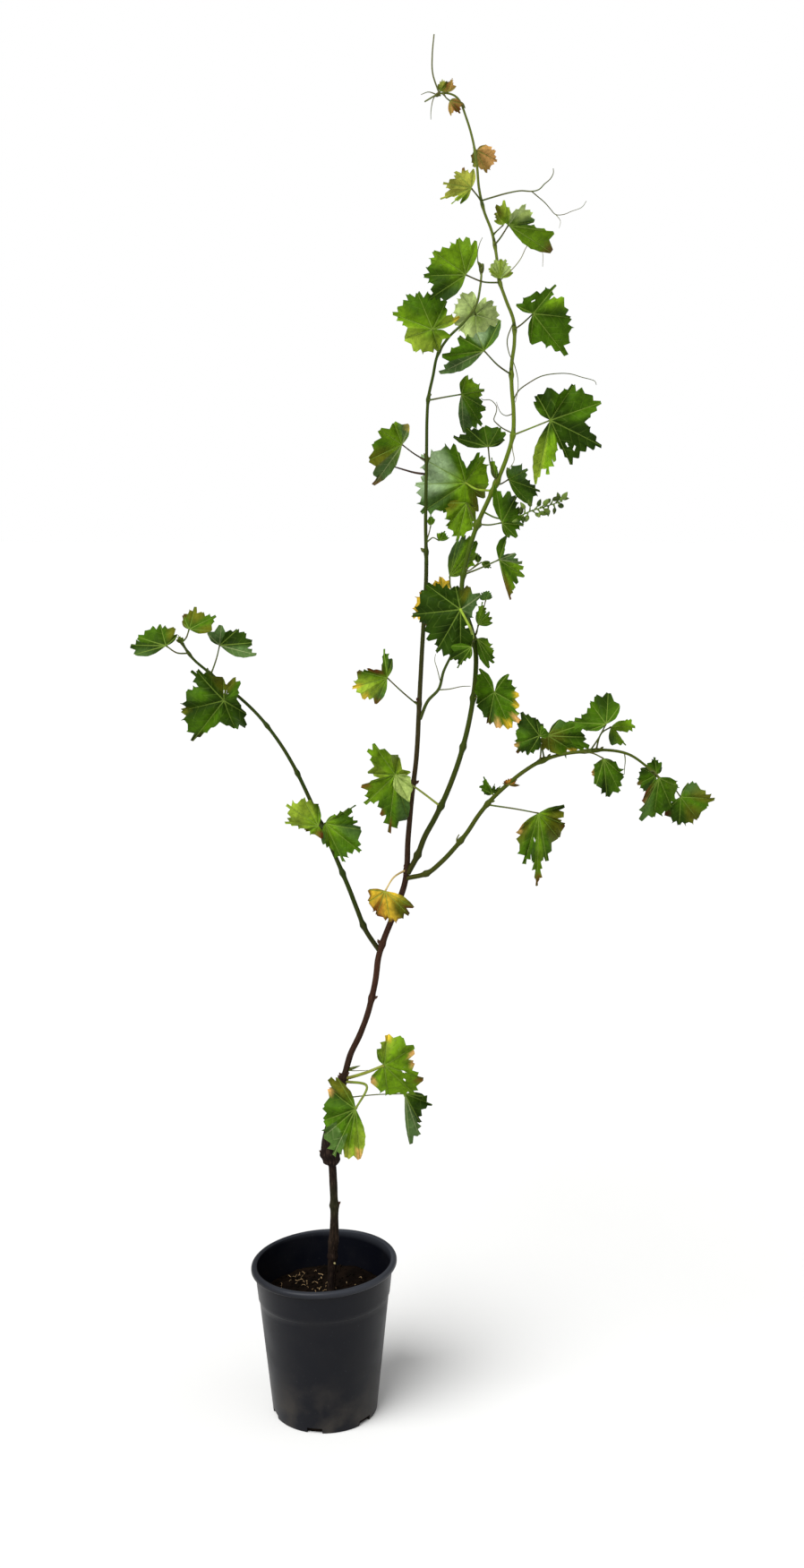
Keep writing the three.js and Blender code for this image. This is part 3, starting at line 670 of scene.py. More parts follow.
def nearest_stem(point):
    """The stem that a point lies nearest to, how far along it, and the stem's middle there."""
    found = []
    for stem, (line, _, distances) in STEMS.items():
        gaps = np.linalg.norm(line - point, axis=1)
        found.append((gaps.min(), stem, distances[gaps.argmin()], line[gaps.argmin()]))
    return min(found)[1:]


def more_nodes(stem, spacing, first, last):
    """Fills the bare stretches of a stem with nodes a spacing apart."""
    nodes = STEM_NODES[stem]
    for k in range(int((last - first) / spacing) + 1):
        place = first + k * spacing
        if all(abs(place - other) > 0.6 * spacing for other in nodes):
            nodes.append(place)


def wood_girths():
    """Radius of the woody stem all over: its taper, its nodes and the relief of its bark."""
    girths = np.repeat(swollen("vine", WOOD_SWELLING)[:, None], WOOD_SIDES, axis=1)
    distances = STEMS["vine"][2]
    age = np.interp(distances, [0, 0.30, 0.60, 0.95], [1.0, 0.8, 0.45, 0.1])
    for i, distance in enumerate(distances):
        for k, turn in enumerate(turns(WOOD_SIDES)):
            x, y = math.cos(turn), math.sin(turn)
            furrows = 1 - 2 * abs(noise.noise(Vector((1.4 * x, 1.4 * y, distance * FURROWS_PER_M))))
            knobs = noise.noise(Vector((x, y, distance * KNOBS_PER_M + 5)))
            girths[i, k] *= 1 + age[i] * (FURROW_DEPTH * (furrows - 0.6) + KNOB_HEIGHT * knobs)
    return girths


LEAVES = {node[5:]: stalk_and_blade(node) for node in sorted(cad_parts) if node.startswith("leaf_")}
STEMS = {"vine": whole_stem(VINE_LIMBS, WOOD_STEP, 0.0)}
for shoot, limbs in SHOOT_LIMBS.items():
    STEMS[shoot] = whole_stem(limbs, TIP_STEP if shoot == "tendril" else SHOOT_STEP, SHOOT_SUNK)
STEM_NODES = {stem: [] for stem in STEMS}
for leaf in LEAVES.values():
    leaf["foot"] = nearest_stem(leaf["stalk"][0])
    STEM_NODES[leaf["foot"][0]].append(leaf["foot"][1])
more_nodes("vine", *BARE_STRETCH)
vine_girths = wood_girths()
bark = finish("bark", stem_skin, BARK_STREAKS, (0.50, 0.72, 0.0, 0.26), BARK_FLAKE,
              (0.30, 0.48, 0.75, 0.0), BARK_FISSURE_SHADE, 0.85, 0.1, 0.0011, 1.0)
build_stem("vine_trunk", "vine", 0.0, TRUNK_END, vine_girths, BARK_TINTS, bark, "bark", ["trunk"])
build_stem("old_cane", "vine", TRUNK_END - WOOD_STEP, CANE_END, vine_girths, BARK_TINTS, bark, "bark",
           ["cane_lower", "cane_middle"])


# ---- Green shoots ----
# This year's growth: smooth green shoots, faintly ribbed, with a swollen node wherever a leaf or a
# tendril leaves them. They are olive and half woody at the foot and fresh green at the tip.
SHOOT_SIDES, SHOOT_RIBS, RIB_HEIGHT = 18, 6, 0.035
SHOOT_SWELLING = 0.50
BARE_STRETCHES = {"tall": (0.08, 0.03, 1.02), "right": (0.07, 0.03, 0.42), "left": (0.075, 0.04, 0.47)}
SHOOT_STREAKS = {"Stretch": (2.4, 2.4, 24.0), "Scale": 1.5, "Detail": 5.0, "Roughness": 0.5}
SHOOT_FLUSH = (0.085, 0.055, 0.008, 1.0)
# Painted shade in the hollows between the shoot's streaks.
SHOOT_SHADE = (0.012, 0.024, 0.002, 1.0)
# How full each shoot is beside its limbs, and its everyday colours by distance along it in mm.
SHOOTS = {
    "vine": (1.0, "1000 45 58 14, 1200 50 66 16, 1300 66 88 26, 1410 118 132 68"),
    "tall": (1.12, "0 44 46 13, 80 44 53 9, 300 52 68 11, 450 64 84 17, 600 102 122 30, 800 106 122 46, "
                   "1060 92 102 44"),
    "right": (1.12, "0 50 54 14, 100 56 66 12, 250 68 80 16, 450 66 80 20"),
    "left": (1.35, "0 34 36 12, 100 38 52 10, 300 36 52 10, 500 54 70 22"),
    "side": (1.3, "0 52 64 22, 100 66 82 30"),
    "tendril": (1.1, "0 88 94 50, 70 104 106 66"),
}


def build_shoot(name, stem, start, nodes):
    """A green shoot with its taper, its nodes and its fine ribs."""
    fullness, tints = SHOOTS[stem]
    ribs = 1 + RIB_HEIGHT * np.cos(SHOOT_RIBS * turns(SHOOT_SIDES))
    girths = np.outer(swollen(stem, SHOOT_SWELLING) * fullness, ribs)
    build_stem(name, stem, start, PAST_TIP, girths, tints, shoot_skin, "green_shoot", nodes)


shoot_skin = finish("shoot_skin", stem_skin, SHOOT_STREAKS, (0.52, 0.74, 0.0, 0.50), SHOOT_FLUSH,
                    (0.30, 0.50, 0.35, 0.0), SHOOT_SHADE, 0.45, 0.07, 0.0004, 0.6)
for stem, stretch in BARE_STRETCHES.items():
    more_nodes(stem, *stretch)
build_shoot("leader_shoot", "vine", CANE_END - WOOD_STEP, ["left_leader", "left_leader_tip"])
for shoot, limbs in SHOOT_LIMBS.items():
    build_shoot(shoot + "_shoot_skin", shoot, 0.0, limbs)


# ---- Leaves ----
# Thin lobed blades with coarse pointed teeth. The main veins fan out from the end of the stalk to
# the lobe tips and sink into a quilted, satin upper side; the underside is paler, matt and downy.
# Late in the season some margins and tips have turned yellow, brown or wine red.
TOOTH_WIDTH = 0.0122
TOOTH_HEIGHT = 0.0088
TOOTH_END = 0.70
TOOTH_STEPS = ((0.0, 1.0), (0.10, 0.72), (TOOTH_END, 0.0), (0.90, 0.62))
USUAL_BAY = 0.9
FULL_REACH = 0.060
BLADE_ROW = 0.0040
BLADE_THICKNESS = 0.0005
QUILT, QUILT_EDGE = 0.0024, 0.004
PLEAT = 0.085
VEIN_HALF_WIDTH = 0.00068
SIDE_VEIN_SPACING = 0.16
SIDE_VEIN_SLANT = 0.84
HALF_PANEL = math.radians(24)
FOLD_SHARE = 0.62
# Waves round a blade: how many, their height beside its reach, and how fast they grow outwards.
WAVES = ((2, 0.07, 2), (5, 0.08, 2), (11, 0.04, 3))
BLADE_SHADE = (0.010, 0.03, 0.002, 1.0)
# Each tone's everyday colour on the upper side and on the underside. Tone s is not a colour of the leaf but
# a painted sheen: the pale grey-white of light glancing off the upper side. Tone g, a grey-green, is the
# leaf's own grey-green, and on some blades it is also used for that painted sheen.
TONES = {
    "d": "36 58 4, 62 88 38", "m": "62 95 8, 72 100 42", "b": "94 128 15, 98 126 48",
    "l": "134 158 44, 130 154 70", "y": "198 164 44, 184 164 76", "o": "86 90 16, 98 104 50",
    "p": "158 178 96, 160 178 108", "z": "160 104 34, 146 104 54", "n": "92 52 20, 98 66 36",
    "t": "200 152 88, 184 148 98", "r": "66 22 14, 76 38 28", "g": "66 94 40, 76 102 52",
    "s": "142 166 122, 150 170 132", "k": "28 18 8, 44 30 18", "w": "150 116 58, 152 124 72",
    "v": "148 152 58, 158 168 78",
}
# Each blade's cut, then its tones. In the cut a star is a lobe of its own pad, a pair is one more
# lobe (bearing:reach in mm), a dash a lobe left out, and a digit the depth of the bay before the
# next lobe, in tenths of the lobes' reach. The tones are that by the stalk, one for each lobe (a
# capital shows the underside), one for each lobe's tip (a capital is folded over), and the margin's.
BLADES = {
    "graft_leaves": {
        "graft_right": "* * * * 8 358:38 8 381:43 8 * 418:44 * 8 * / b bbbbbbbblb t..ntt..y.",
        "graft_hanging": "* * 8 * 7 * * / m GGddd",
        "graft_front": "* 132:52 * 180:42 * * * 8 * * / m oodmmmmbl ..t..GGvt",
        "fork": "* * * * * 8 * / y yyzyoo ..r.r. r",
    },
    "left_shoot_leaves": {
        "left_curled": "* * * 8 * 6 * 7 292:16 / b mlllbn ....nn",
        "left_inner": "262:27 * * 8 * * 8 365:43 7 * 6 * / b gbmmgmmb",
        "left_hanging": "* * 139:58 7 165:50 * * 5 * 307:45 * 5 407:35 426:33 / d oddmdmmddmo ....ok.....",
        "left_far": "* 8 68:23 8 * * 8 * * / d dommdg",
        "left_tip": "* * 8 412:25 8 * 8 * * / m omoomo ....rr",
        "left_folded": "* 8 * 385:36 * 7 * 8 * / d GdddGG",
    },
    "right_shoot_leaves": {
        "right_first": "* * * 150:31 172:29 * 217:35 8 * 8 270:17 / d ddddmmddd .....tn..",
        "right_olive": "200:9 240:17 * * 343:55 * * 8 * / o ooommdmg ...y....",
        "right_crest": "* * 109:33 * 7 * * / m mddmmm",
        "right_small": "* 8 * 3 340:21 * 376:28 8 * / b gbbbbb",
        "right_hanging": "* 240:24 * * * * * / m mmmdmmd .t.....",
        "right_upper": "* 8 65:16 8 * 134:18 * * * / m dmdmdmg .....n.",
        "right_lower": "* 8 * * * 8 * 345:23 / m ngmmbm r.....",
        "right_end": "* * * 339:37 * 8 401:24 * / m ddomogg r......",
        "right_drooping": "* * 8 264:62 8 * 8 275:64 * 8 * * 7 354:33 8 * / b ommbbmoood t..n...n..",
    },
    "middle_leaves": {
        "mid_bright": "5:20 6 * 8 * 137:48 7 * 5 * 8 * 7 251:58 8 * * / b llbblbbmmg .....n.nn.",
        "mid_left": "* 8 * 4 150:27 8 * * * 8 * / b gmnmllg ..nryyn",
        "mid_right": "* 165:25 * * 276:42 * 312:45 8 * 8 360:29 8 * / m mmddmmmmmm ...ntytyy.",
        "centre_dark": "-58:22 6 * 8 66:28 8 * 8 132:41 * 158:52 * 8 224:57 8 * * 286:49 / d GGoddddddddd",
        "centre_yellow": "* * 8 * * 8 * / y yyyyy ..n.n",
        "centre_low": "* 8 * * * / m mmbm",
        "stem_folded": "* * * 60:57 * * / b bbmbgg",
        "lower_right": "* 291:46 298:42 8 309:39 8 * 8 339:34 8 * 7 * 3 * / m nobmbbGGm n........",
        "right_dark": "* 8 * 7 * 7 * 437:40 7 * / m mmmdmm",
    },
    "crown_leaves": {
        "blossom_right": "* * 6 * * / m mdgg",
        "big_right": "* 7 266:66 8 276:50 5 * 8 * 6 * * 7 452:39 * 495:29 / d lbbddmmddm",
        "left_upper": "* * 8 * 8 178:35 * 8 * / b GbbmoG y....n",
        # The s lobes of behind_large and boat are a painted sheen.
        "behind_large": "* 360:29 * 429:41 4 * * 8 * * 590:46 8 612:56 8 634:58 7 655:40 / b obbmmssgmbbo",
        "behind_low": "* * * * * / b obbbo",
        "upright": "* * 8 * 7 * 8 * / m Gmmbb",
        "wedge": "* 38:26 * * 8 * 8 * / m dmmmdd",
        "boat": "* 7 * 7 * 7 * 8 * / m gsmmG",
    },
    "top_leaves": {
        "upper_bright": "* 8 87:44 * 8 * * 8 * 231:37 / b bbbbmdg",
        "upper_left": "* 6 * * 126:51 * 7 * 230:33 * 7 340:24 / b lmmmblllb y........",
        "pale_behind": "96:29 * * 8 * * * 8 422:25 / l PPPPPPP",
        "upper_right": "* 7 * * 390:41 6 * 6 * / m mmmbmm",
        "top_right": "* * 5 * 388:29 * 4 - 462:27 8 492:25 / b bbgpPlo n......",
        "top_yellow": "* 7 113:26 8 * 7 * 7 * 5 218:31 6 * / v vvvvvlb .n.....",
        "top_bronze": "* * 8 * * 360:22 * / w nvwttw",
    },
}
# Small holes eaten through some blades: bearing, reach and radius in mm.
HOLES = {
    "upper_right": [(102, 14, 2.4)], "big_right": [(305, 36, 2), (312, 45, 2)],
    "centre_dark": [(287, 24, 1.9)], "graft_right": [(335, 28, 2.4), (322, 33, 2)],
    "right_end": [(205, 24, 2)], "right_drooping": [(262, 34, 1.8)], "mid_bright": [(300, 32, 2)],
    "left_inner": [(245, 20, 2)], "left_hanging": [(75, 12, 3)],
}
# How far a blade bulges past its first and last lobe, as a share of the lobe's reach.
USUAL_BULGES = (0.13, 0.13)
BULGES = {"lower_right": (0.02, 0.24), "upright": (0.10, 0.20), "graft_hanging": (0.03, 0.13)}
# Parts of a blade that have folded over it and show their smooth underside: how far they stand
# before the blade in mm, their cut and tones, and their slope.
FOLDS = {
    "mid_bright": (5, "272:20 297:40 322:29 350:20 / p pppp", (0.3, 0.1)),
    "right_first": (4, "340:9 372:13 410:12 440:13 / m mmmm n...", (0.3, 0.1)),
}
leaf_random = random.Random(29)


def smooth_step(low, high, values):
    share = np.clip((values - low) / (high - low), 0, 1)
    return share * share * (3 - 2 * share)


def spoke(bearing, reach):
    """A place in a blade's plane, from degrees and mm."""
    turn = math.radians(float(bearing))
    return np.array([math.cos(turn), math.sin(turn)]) * float(reach) / 1000


def cut_lobes(rim, cup, cut):
    """A blade's outline, tip and bay in turn, how far back each is, its main veins and its bays."""
    tips = iter(zip(rim[::2], cup[::2]))
    marks, backs, veins, depths = [], [], [], []
    depth, back = USUAL_BAY, cup[0]
    for token in cut.split():
        if token.isdigit():
            depth = int(token) / 10
            continue
        place, tip_back = next(tips) if ":" not in token else (spoke(*token.split(":")), back)
        if token == "-":
            continue
        back = tip_back
        if token == "*" or not len(rim):
            veins.append(place)
        if marks:
            depths.append(depth)
        depth = USUAL_BAY
        marks.append(place)
        backs.append(back)
    outline, outline_backs = [marks[0]], [backs[0]]
    for a, b, back_a, back_b, depth in zip(marks, marks[1:], backs, backs[1:], depths):
        reach_a, reach_b = np.linalg.norm([a, b], axis=1)
        middle = a / reach_a + b / reach_b
        outline += [unit(middle) * depth * (reach_a + reach_b) / 2, b]
        outline_backs += [(back_a + back_b) / 2 * depth ** 2, back_b]
    return np.array(outline), outline_backs, np.array(veins), depths


def toothed_rim(outline, backs, depths, reach, tooth_height):
    """Columns round a leaf: its place on a smooth margin, its tooth, its cup and its mark."""
    scale = min(1.0, max(0.25, reach / FULL_REACH))
    columns = []
    for i, (a, b) in enumerate(zip(outline, outline[1:])):
        way = b - a
        length = np.linalg.norm(way)
        out = np.array([way[1], -way[0]]) / length
        if out @ (a + b) < 0:
            out = -out
        end = max(0, round(length / (TOOTH_WIDTH * scale) - TOOTH_END)) + TOOTH_END
        steps = [(k + phase, height) for k in range(int(end) + 1) for phase, height in TOOTH_STEPS]
        steps = [step for step in steps if step[0] <= end + SEAM]
        from_tip = i % 2 == 0
        for phase, height in (steps[:-1] if from_tip else steps[:0:-1]):
            share = phase / end if from_tip else 1 - phase / end
            size = leaf_random.uniform(0.45, 1.35) * min(1, depths[i // 2] / 0.85) ** 2
            tooth = out * tooth_height * scale * size * (height - 0.4) * (0 < phase < end)
            back = backs[i] + (backs[i + 1] - backs[i]) * share
            columns.append((a + way * share, tooth, back, (i + share) / 2))
    columns.append((outline[-1], np.zeros(2), backs[-1], (len(outline) - 1) / 2))
    return [np.array(column) for column in zip(*columns)]


def leaf_sheet(outline, backs, depths, tooth_height, bulges):
    """A leaf's upper side as rows of points: places in its plane, how far back, marks and rows."""
    reach = np.linalg.norm(outline, axis=1).max()
    edge, teeth, backs, marks = toothed_rim(outline, backs, depths, reach, tooth_height)
    t = np.linspace(0, 1, max(6, round(reach / BLADE_ROW)) + 1)[:, None]
    places = edge * t[..., None] + teeth * (t ** 5)[..., None]
    backs = backs * t ** 2
    for end, sign in ((0, -1), (-1, 1)):
        tip = outline[end]
        out = sign * np.array([-tip[1], tip[0]])
        ripple = 1 + 0.5 * np.abs((t * np.linalg.norm(tip) / TOOTH_WIDTH) % 1 - 0.5) * t
        for width in (0.5, 1.0):
            swell = bulges[end] * width * (np.sin(math.pi * t) * ripple + 0.12 * t)
            at = -end * len(marks)
            places = np.insert(places, at, t * tip + swell * out, axis=1)
            backs = np.insert(backs, at, backs[:, end], axis=1)
            marks = np.insert(marks, at, marks[end])
    return places, backs, marks, t, reach


def vein_places(places, veins):
    """For each point: how far it is across and along from the nearest main vein."""
    ways = (veins / np.linalg.norm(veins, axis=1)[:, None])[:, None, None]
    along = (places * ways).sum(-1)
    across = np.abs(places[..., 0] * ways[..., 1] - places[..., 1] * ways[..., 0])
    nearest = np.arctan2(across, along).argmin(0)[None]
    return np.take_along_axis(across, nearest, 0)[0], np.take_along_axis(along, nearest, 0)[0]


def patches(places, scale, seed):
    """Soft uneven patches over a blade, between -1 and 1."""
    values = [noise.noise(Vector((x * scale, z * scale, seed))) for x, z in places.reshape(-1, 2)]
    return np.reshape(values, places.shape[:2])


def read_tones(row):
    """The tones of a blade: by the stalk, of its lobes, of their tips, and of its margin."""
    base, lobes, tips, margin = (row.split() + ["", ""])[:4]
    return base, lobes, tips.ljust(len(lobes), "."), margin


def blade_tints(tones, marks, t, patch, fine, side):
    """Colours over one side of a blade, from its tones."""
    base, lobes, tips, margin = tones
    colours_of = {letter: np.array(linear(numbers(tone)[side])) for letter, tone in TONES.items()}
    lobe_colours = np.array([colours_of[letter.lower()] for letter in lobes])
    capitals = np.array([letter.isupper() for letter in lobes])
    lower = np.minimum(marks.astype(int), len(lobes) - 2)
    share = marks - lower
    same = capitals[lower] == capitals[lower + 1]
    share = np.where(same, smooth_step(0.2, 0.8, share), share > 0.5)[:, None]
    outer_colours = lobe_colours[lower] * (1 - share) + lobe_colours[lower + 1] * share
    outer = smooth_step(0.1, 0.7, t)[..., None]
    colours = colours_of[base] * (1 - outer) + outer_colours * outer
    turned_parts = []
    if margin:
        turned_parts.append((margin, 0.85, smooth_step(0.80, 1.0, t + 0.22 * patch + 0.08 * fine)))
    for k, letter in enumerate(tips):
        if letter.islower():
            near = t * np.exp(-((marks - k) / 0.42) ** 2)
            turned_parts.append((letter, 0.9, smooth_step(0.72, 0.92, near + 0.20 * patch + 0.07 * fine)))
    for letter, strength, depth in turned_parts:
        depth = depth[..., None] * strength
        colours = colours * (1 - depth) + colours_of[letter] * depth
    return colours * (1 + 0.60 * patch + 0.25 * fine)[..., None]


def blade(neck, slope, rim, cup, row, holes=(), tooth_height=TOOTH_HEIGHT, bulges=USUAL_BULGES):
    """One blade: the points of its upper side, and the facts about them and the panels between them."""
    cut, tones = row.split(" / ")
    outline, backs, veins, depths = cut_lobes(rim, cup, cut)
    places, backs, marks, t, reach = leaf_sheet(outline, backs, depths, tooth_height, bulges)
    size = min(1.0, reach / FULL_REACH)
    across, along = vein_places(places, veins)
    branch = (along - SIDE_VEIN_SLANT * across) / (SIDE_VEIN_SPACING * reach)
    width = VEIN_HALF_WIDTH * (1.25 - 0.9 * np.clip(along / reach, 0, 1)) * (0.3 + 0.7 * size)
    swell = (1 - np.exp(-(across / QUILT_EDGE) ** 2)) * (0.775 - 0.225 * np.cos(2 * math.pi * branch))
    bearing = np.arctan2(places[..., 1], places[..., 0])
    wave = sum(height * t ** power * np.sin(count * bearing + leaf_random.uniform(0, 2 * math.pi))
               for count, height, power in WAVES)
    panel = np.clip(np.arctan2(across, np.maximum(along, 1e-6)) / HALF_PANEL, 0, 1)
    pleat = PLEAT * reach * t * np.sin(math.pi / 2 * panel)
    depth = places @ slope + backs + wave * reach - QUILT * size * swell - pleat
    upper = np.stack([places[..., 0], depth, places[..., 1]], -1) + neck
    seed = leaf_random.uniform(0, 100)
    patch, fine = patches(places, 60, seed), patches(places, 240, seed)
    tones = read_tones(tones)
    tints = [blade_tints(tones, marks, t, patch, fine, side) for side in (0, 1)]
    middle = np.clip(np.round((marks[1:] + marks[:-1]) / 2), 0, len(tones[1]) - 1).astype(int)
    whole, folded = (np.array([tone.isupper() for tone in letters])[middle] for letters in tones[1:3])
    over = whole | (folded & ((t[1:] + t[:-1]) / 2 > FOLD_SHARE))
    middles = (places[1:, 1:] + places[1:, :-1] + places[:-1, 1:] + places[:-1, :-1]) / 4
    gone = np.zeros(over.shape, bool)
    for bearing, distance, radius in holes:
        gone |= np.linalg.norm(middles - spoke(bearing, distance), axis=2) < radius / 1000
    gone[[0, -1]] = gone[:, [0, -1]] = False
    under = upper - BLADE_THICKNESS * unit((slope[0], -1.0, slope[1]))
    vein_facts = np.stack([across / width, branch, np.broadcast_to(t, across.shape)], -1)
    return [upper, under], vein_facts, tints, over, gone


def listed(sheet):
    """The rows of a sheet as one list. The first row is all one point, the hub."""
    return np.concatenate([sheet[0, :1], sheet[1:].reshape(-1, sheet.shape[-1])])


def leaf_piece(name, blades, *nodes):
    """Blades in one piece, each with two sides and a thin edge round it and round its holes."""
    points, veins, tints, flats, faces, kinds = [], [], [], [], [], []
    for leaf, (sheets, vein_facts, both_tints, over, gone) in enumerate(blades):
        start = sum(len(sheet) for sheet in points)
        rows, columns = over.shape[0] + 1, over.shape[1] + 1
        number = np.maximum(np.arange(rows * columns) - columns + 1, 0).reshape(rows, columns)
        count = number[-1, -1] + 1
        points += [listed(sheet) for sheet in sheets]
        veins += [listed(vein_facts)] * 2
        tints += [np.stack([listed(side) for side in both_tints], 1)] * 2
        flat = points[-2][:, [0, 2]] - points[-2][:, [0, 2]].min(0)
        flats += [flat / flat.max()] * 2
        walls = np.pad(gone, 1, constant_values=True)
        for row, column in np.argwhere(~gone):
            shown = int(over[row, column])
            corners = [start + number[row + i, column + j] for i, j in ((0, 0), (1, 0), (1, 1), (0, 1))]
            beside = ((1, 0), (2, 1), (1, 2), (0, 1))
            for (i, j), a, b in zip(beside, corners, corners[1:] + corners[:1]):
                if walls[row + i, column + j] and a != b:
                    faces.append([b, a, a + count, b + count])
                    kinds.append((shown, 2 * leaf))
            corners = list(dict.fromkeys(corners))
            faces += [corners, [c + count for c in corners[::-1]]]
            kinds += [(shown, 2 * leaf), (1 - shown, 2 * leaf + 1)]
    piece = mesh_object(name, np.concatenate(points), faces, upper_skin, under_skin)
    piece.data.polygons.foreach_set("material_index", [shown for shown, _ in kinds])
    corners = np.concatenate(faces)
    shown, cell = np.repeat(kinds, [len(face) for face in faces], axis=0).T
    add_colours(piece, np.concatenate(tints)[corners, shown], "CORNER")
    add_places(piece, "vein_place", np.concatenate(veins))
    across = math.ceil(math.sqrt(2 * len(blades)))
    cells = np.stack([cell % across, cell // across], 1)
    add_map(piece, (cells + 0.02 + 0.96 * np.concatenate(flats)[corners]) / across)
    piece.data.set_sharp_from_angle(angle=math.radians(50))
    settled(piece, "leaf", *nodes)


def veins_group():
    """Masks of the main veins and of the fine side veins, from a leaf's vein places."""
    group, given, result = new_group("leaf_veins", {"Vein Place": "Vector"},
                                     {"Main Veins": "Float", "Side Veins": "Float"})
    place = added(group, "SeparateXYZ", {0: given[0]})
    middle = calculated(group, "SUBTRACT", calculated(group, "FRACT", place["Y"]), 0.5)
    side = ranged(group, calculated(group, "ABSOLUTE", middle), 0.41, 0.48)
    inside = ranged(group, place["Z"], 0.75, 0.98, 1.0, 0.0)
    main = ranged(group, place["X"], 0.55, 1.6, 1.0, 0.0)
    filled(group, result, {"Main Veins": main, "Side Veins": times(group, side, inside)})
    return group


VEINS = veins_group()


def blade_skin(tree, vein_tint, vein_strength, side_strength, roughness, gloss):
    place = attribute(tree, "vein_place", "Vector")
    veins = added(tree, "Group", {0: place}, node_tree=VEINS)
    main, side = veins["Main Veins"], veins["Side Veins"]
    patchy = worn(tree, 210.0, 1500.0)["Blotches"]
    colour = mixed(tree, times(tree, patchy, 0.28), attribute(tree, "tint", "Color"), BLADE_SHADE)
    colour = mixed(tree, times(tree, side, side_strength), colour, vein_tint)
    colour = mixed(tree, times(tree, main, vein_strength), colour, vein_tint)
    furrows = calculated(tree, "MAXIMUM", main, times(tree, side, 0.5))
    relief = calculated(tree, "SUBTRACT", times(tree, patchy, 0.5), furrows)
    return surface(colour, roughness, gloss, bumped(tree, relief, 0.0007, 0.9))


upper_skin = finish("leaf_upper_skin", blade_skin, (0.20, 0.30, 0.045, 1.0), 0.62, 0.13, 0.5, 0.045)
under_skin = finish("leaf_underside_skin", blade_skin, (0.34, 0.41, 0.17, 1.0), 0.55, 0.20, 0.75, 0.05)
for group_name, members in BLADES.items():
    blades = []
    for member, row in members.items():
        pad = LEAVES[member]
        neck = pad["stalk"][-1]
        blades.append(blade(neck, pad["slope"], pad["rim"], pad["cup"], row, HOLES.get(member, ()),
                            bulges=BULGES.get(member, USUAL_BULGES)))
        if member in FOLDS:
            before, row, slope = FOLDS[member]
            blades.append(blade(neck - (0, before / 1000, 0), slope, [], [0.0], row, tooth_height=0.0))
    leaf_piece(group_name, blades, *("leaf_" + member for member in members))


# ---- Young leaves ----
# Small blades still unfolding near the shoot tips and in the angles of the nodes, made like the
# big ones. Each stands on a short stalk of its own.
# Rows: stem, distance along it in mm, how far the blade leans back to the right and upwards, the
# stalk's points in mm from there, and the blade's cut and tones.
YOUNG_LEAVES = [
    "tall 1037 0.3 0.2 / 4 0 4 / 8:13 8 45:16 8 80:14 8 112:8 / o wovo",
    "tall 1029 -0.3 0.2 / 6 0 1 / 35:12 7 72:17 7 112:10 / w wwn",
    "tall 1029 0.2 0.3 / 4 -3 -6, 8 -3 -9 / -85:18 7 -48:19 8 -12:16 8 22:8 / w wnww",
    "tall 792 0.2 -0.1 / 1 -4 3 / 22:17 8 48:19 8 72:23 90:22 108:22 126:20 146:18 166:11 / l lPplpplp",
    "tall 847 -0.2 0.2 / 13 2 12 / 62:16 8 96:24 8 126:18 7 156:12 / l lpol",
    "tall 330 0.1 0.2 / 4 -4 10, 5 -4 19 / 6:19 8 26:20 8 47:22 7 63:23 8 78:29 8 98:14 / m mbmmbm",
    "tall 330 0.2 -0.2 / 9 2 27, 15 2 50 / 20:9 70:12 124:11 175:7 / g gggg",
    "tall 330 -0.1 0.2 / -2 -10 1, -5 -52 -4 / 178:25 8 212:31 7 237:32 6 262:15 / m mddm",
    "tall 417 0.1 0.1 / 8 -4 3, 18 -7 12 / 60:8 95:12 132:7 / d ddd",
    "tall 417 0.1 0.1 / 8 -4 3, 22 -8 13 / -62:8 -30:14 6:10 / d ddd",
    "right 175 0.2 0.1 / -2 -2 4 / 42:14 5 80:14 4 116:25 8 150:20 8 185:9 / d ddmmd",
    "right 198 0.1 0.1 / 2 -4 1 / 0:15 6 30:13 90:8 160:8 / n nzzn .... n",
    "vine 1042 0.1 0.1 / 4 -2 12, 6 -2 21 / 52:9 90:13 130:7 / m mmb",
    "vine 1042 0.1 0.1 / 9 -3 6, 17 -4 2 / 16:13 8 60:14 8 108:10 / m mmb",
    "tall 535 0.1 0.2 / 0 -3 6 / 85:14 101:28 116:15 / m mbm",
    "right 440 0.2 0.1 / 3 0 3 / -60:12 8 -25:15 7 10:10 / m bmo",
    "left 492 0.2 0.1 / -2 0 3 / 80:8 8 115:12 8 150:9 / l blo",
]


def way_from(stem, distance, points):
    """Places beside a stem, from a distance along its middle line and points from there, all in mm."""
    line, _, distances = STEMS[stem]
    return line[np.abs(distances - float(distance) / 1000).argmin()] + numbers(points) / 1000


young_ways, blades = [], []
for row in YOUNG_LEAVES:
    head, points, shape = row.split(" / ", 2)
    stem, distance, *slope = head.split()
    young_ways.append(way_from(stem, distance, "0 0 0, " + points))
    blades.append(blade(young_ways[-1][-1], np.array(slope, float), [], [0.0], shape))
leaf_piece("young_leaves", blades)


# ---- Leaf stalks ----
# Slender round stalks, swollen where they join the shoot and again under the blade. They are green,
# yellowing with age, and flushed with wine red on the side that gets the sun.
STALK_SIDES = 8
STALK_STEP = 0.0022
STALK_RADIUS, YOUNG_STALK_RADIUS = 0.00105, 0.0008
STALK_SWELLING = 0.003
STALK_COLOUR = (70, 86, 24)
SAP_FLUSH = (0.09, 0.04, 0.02, 1.0)
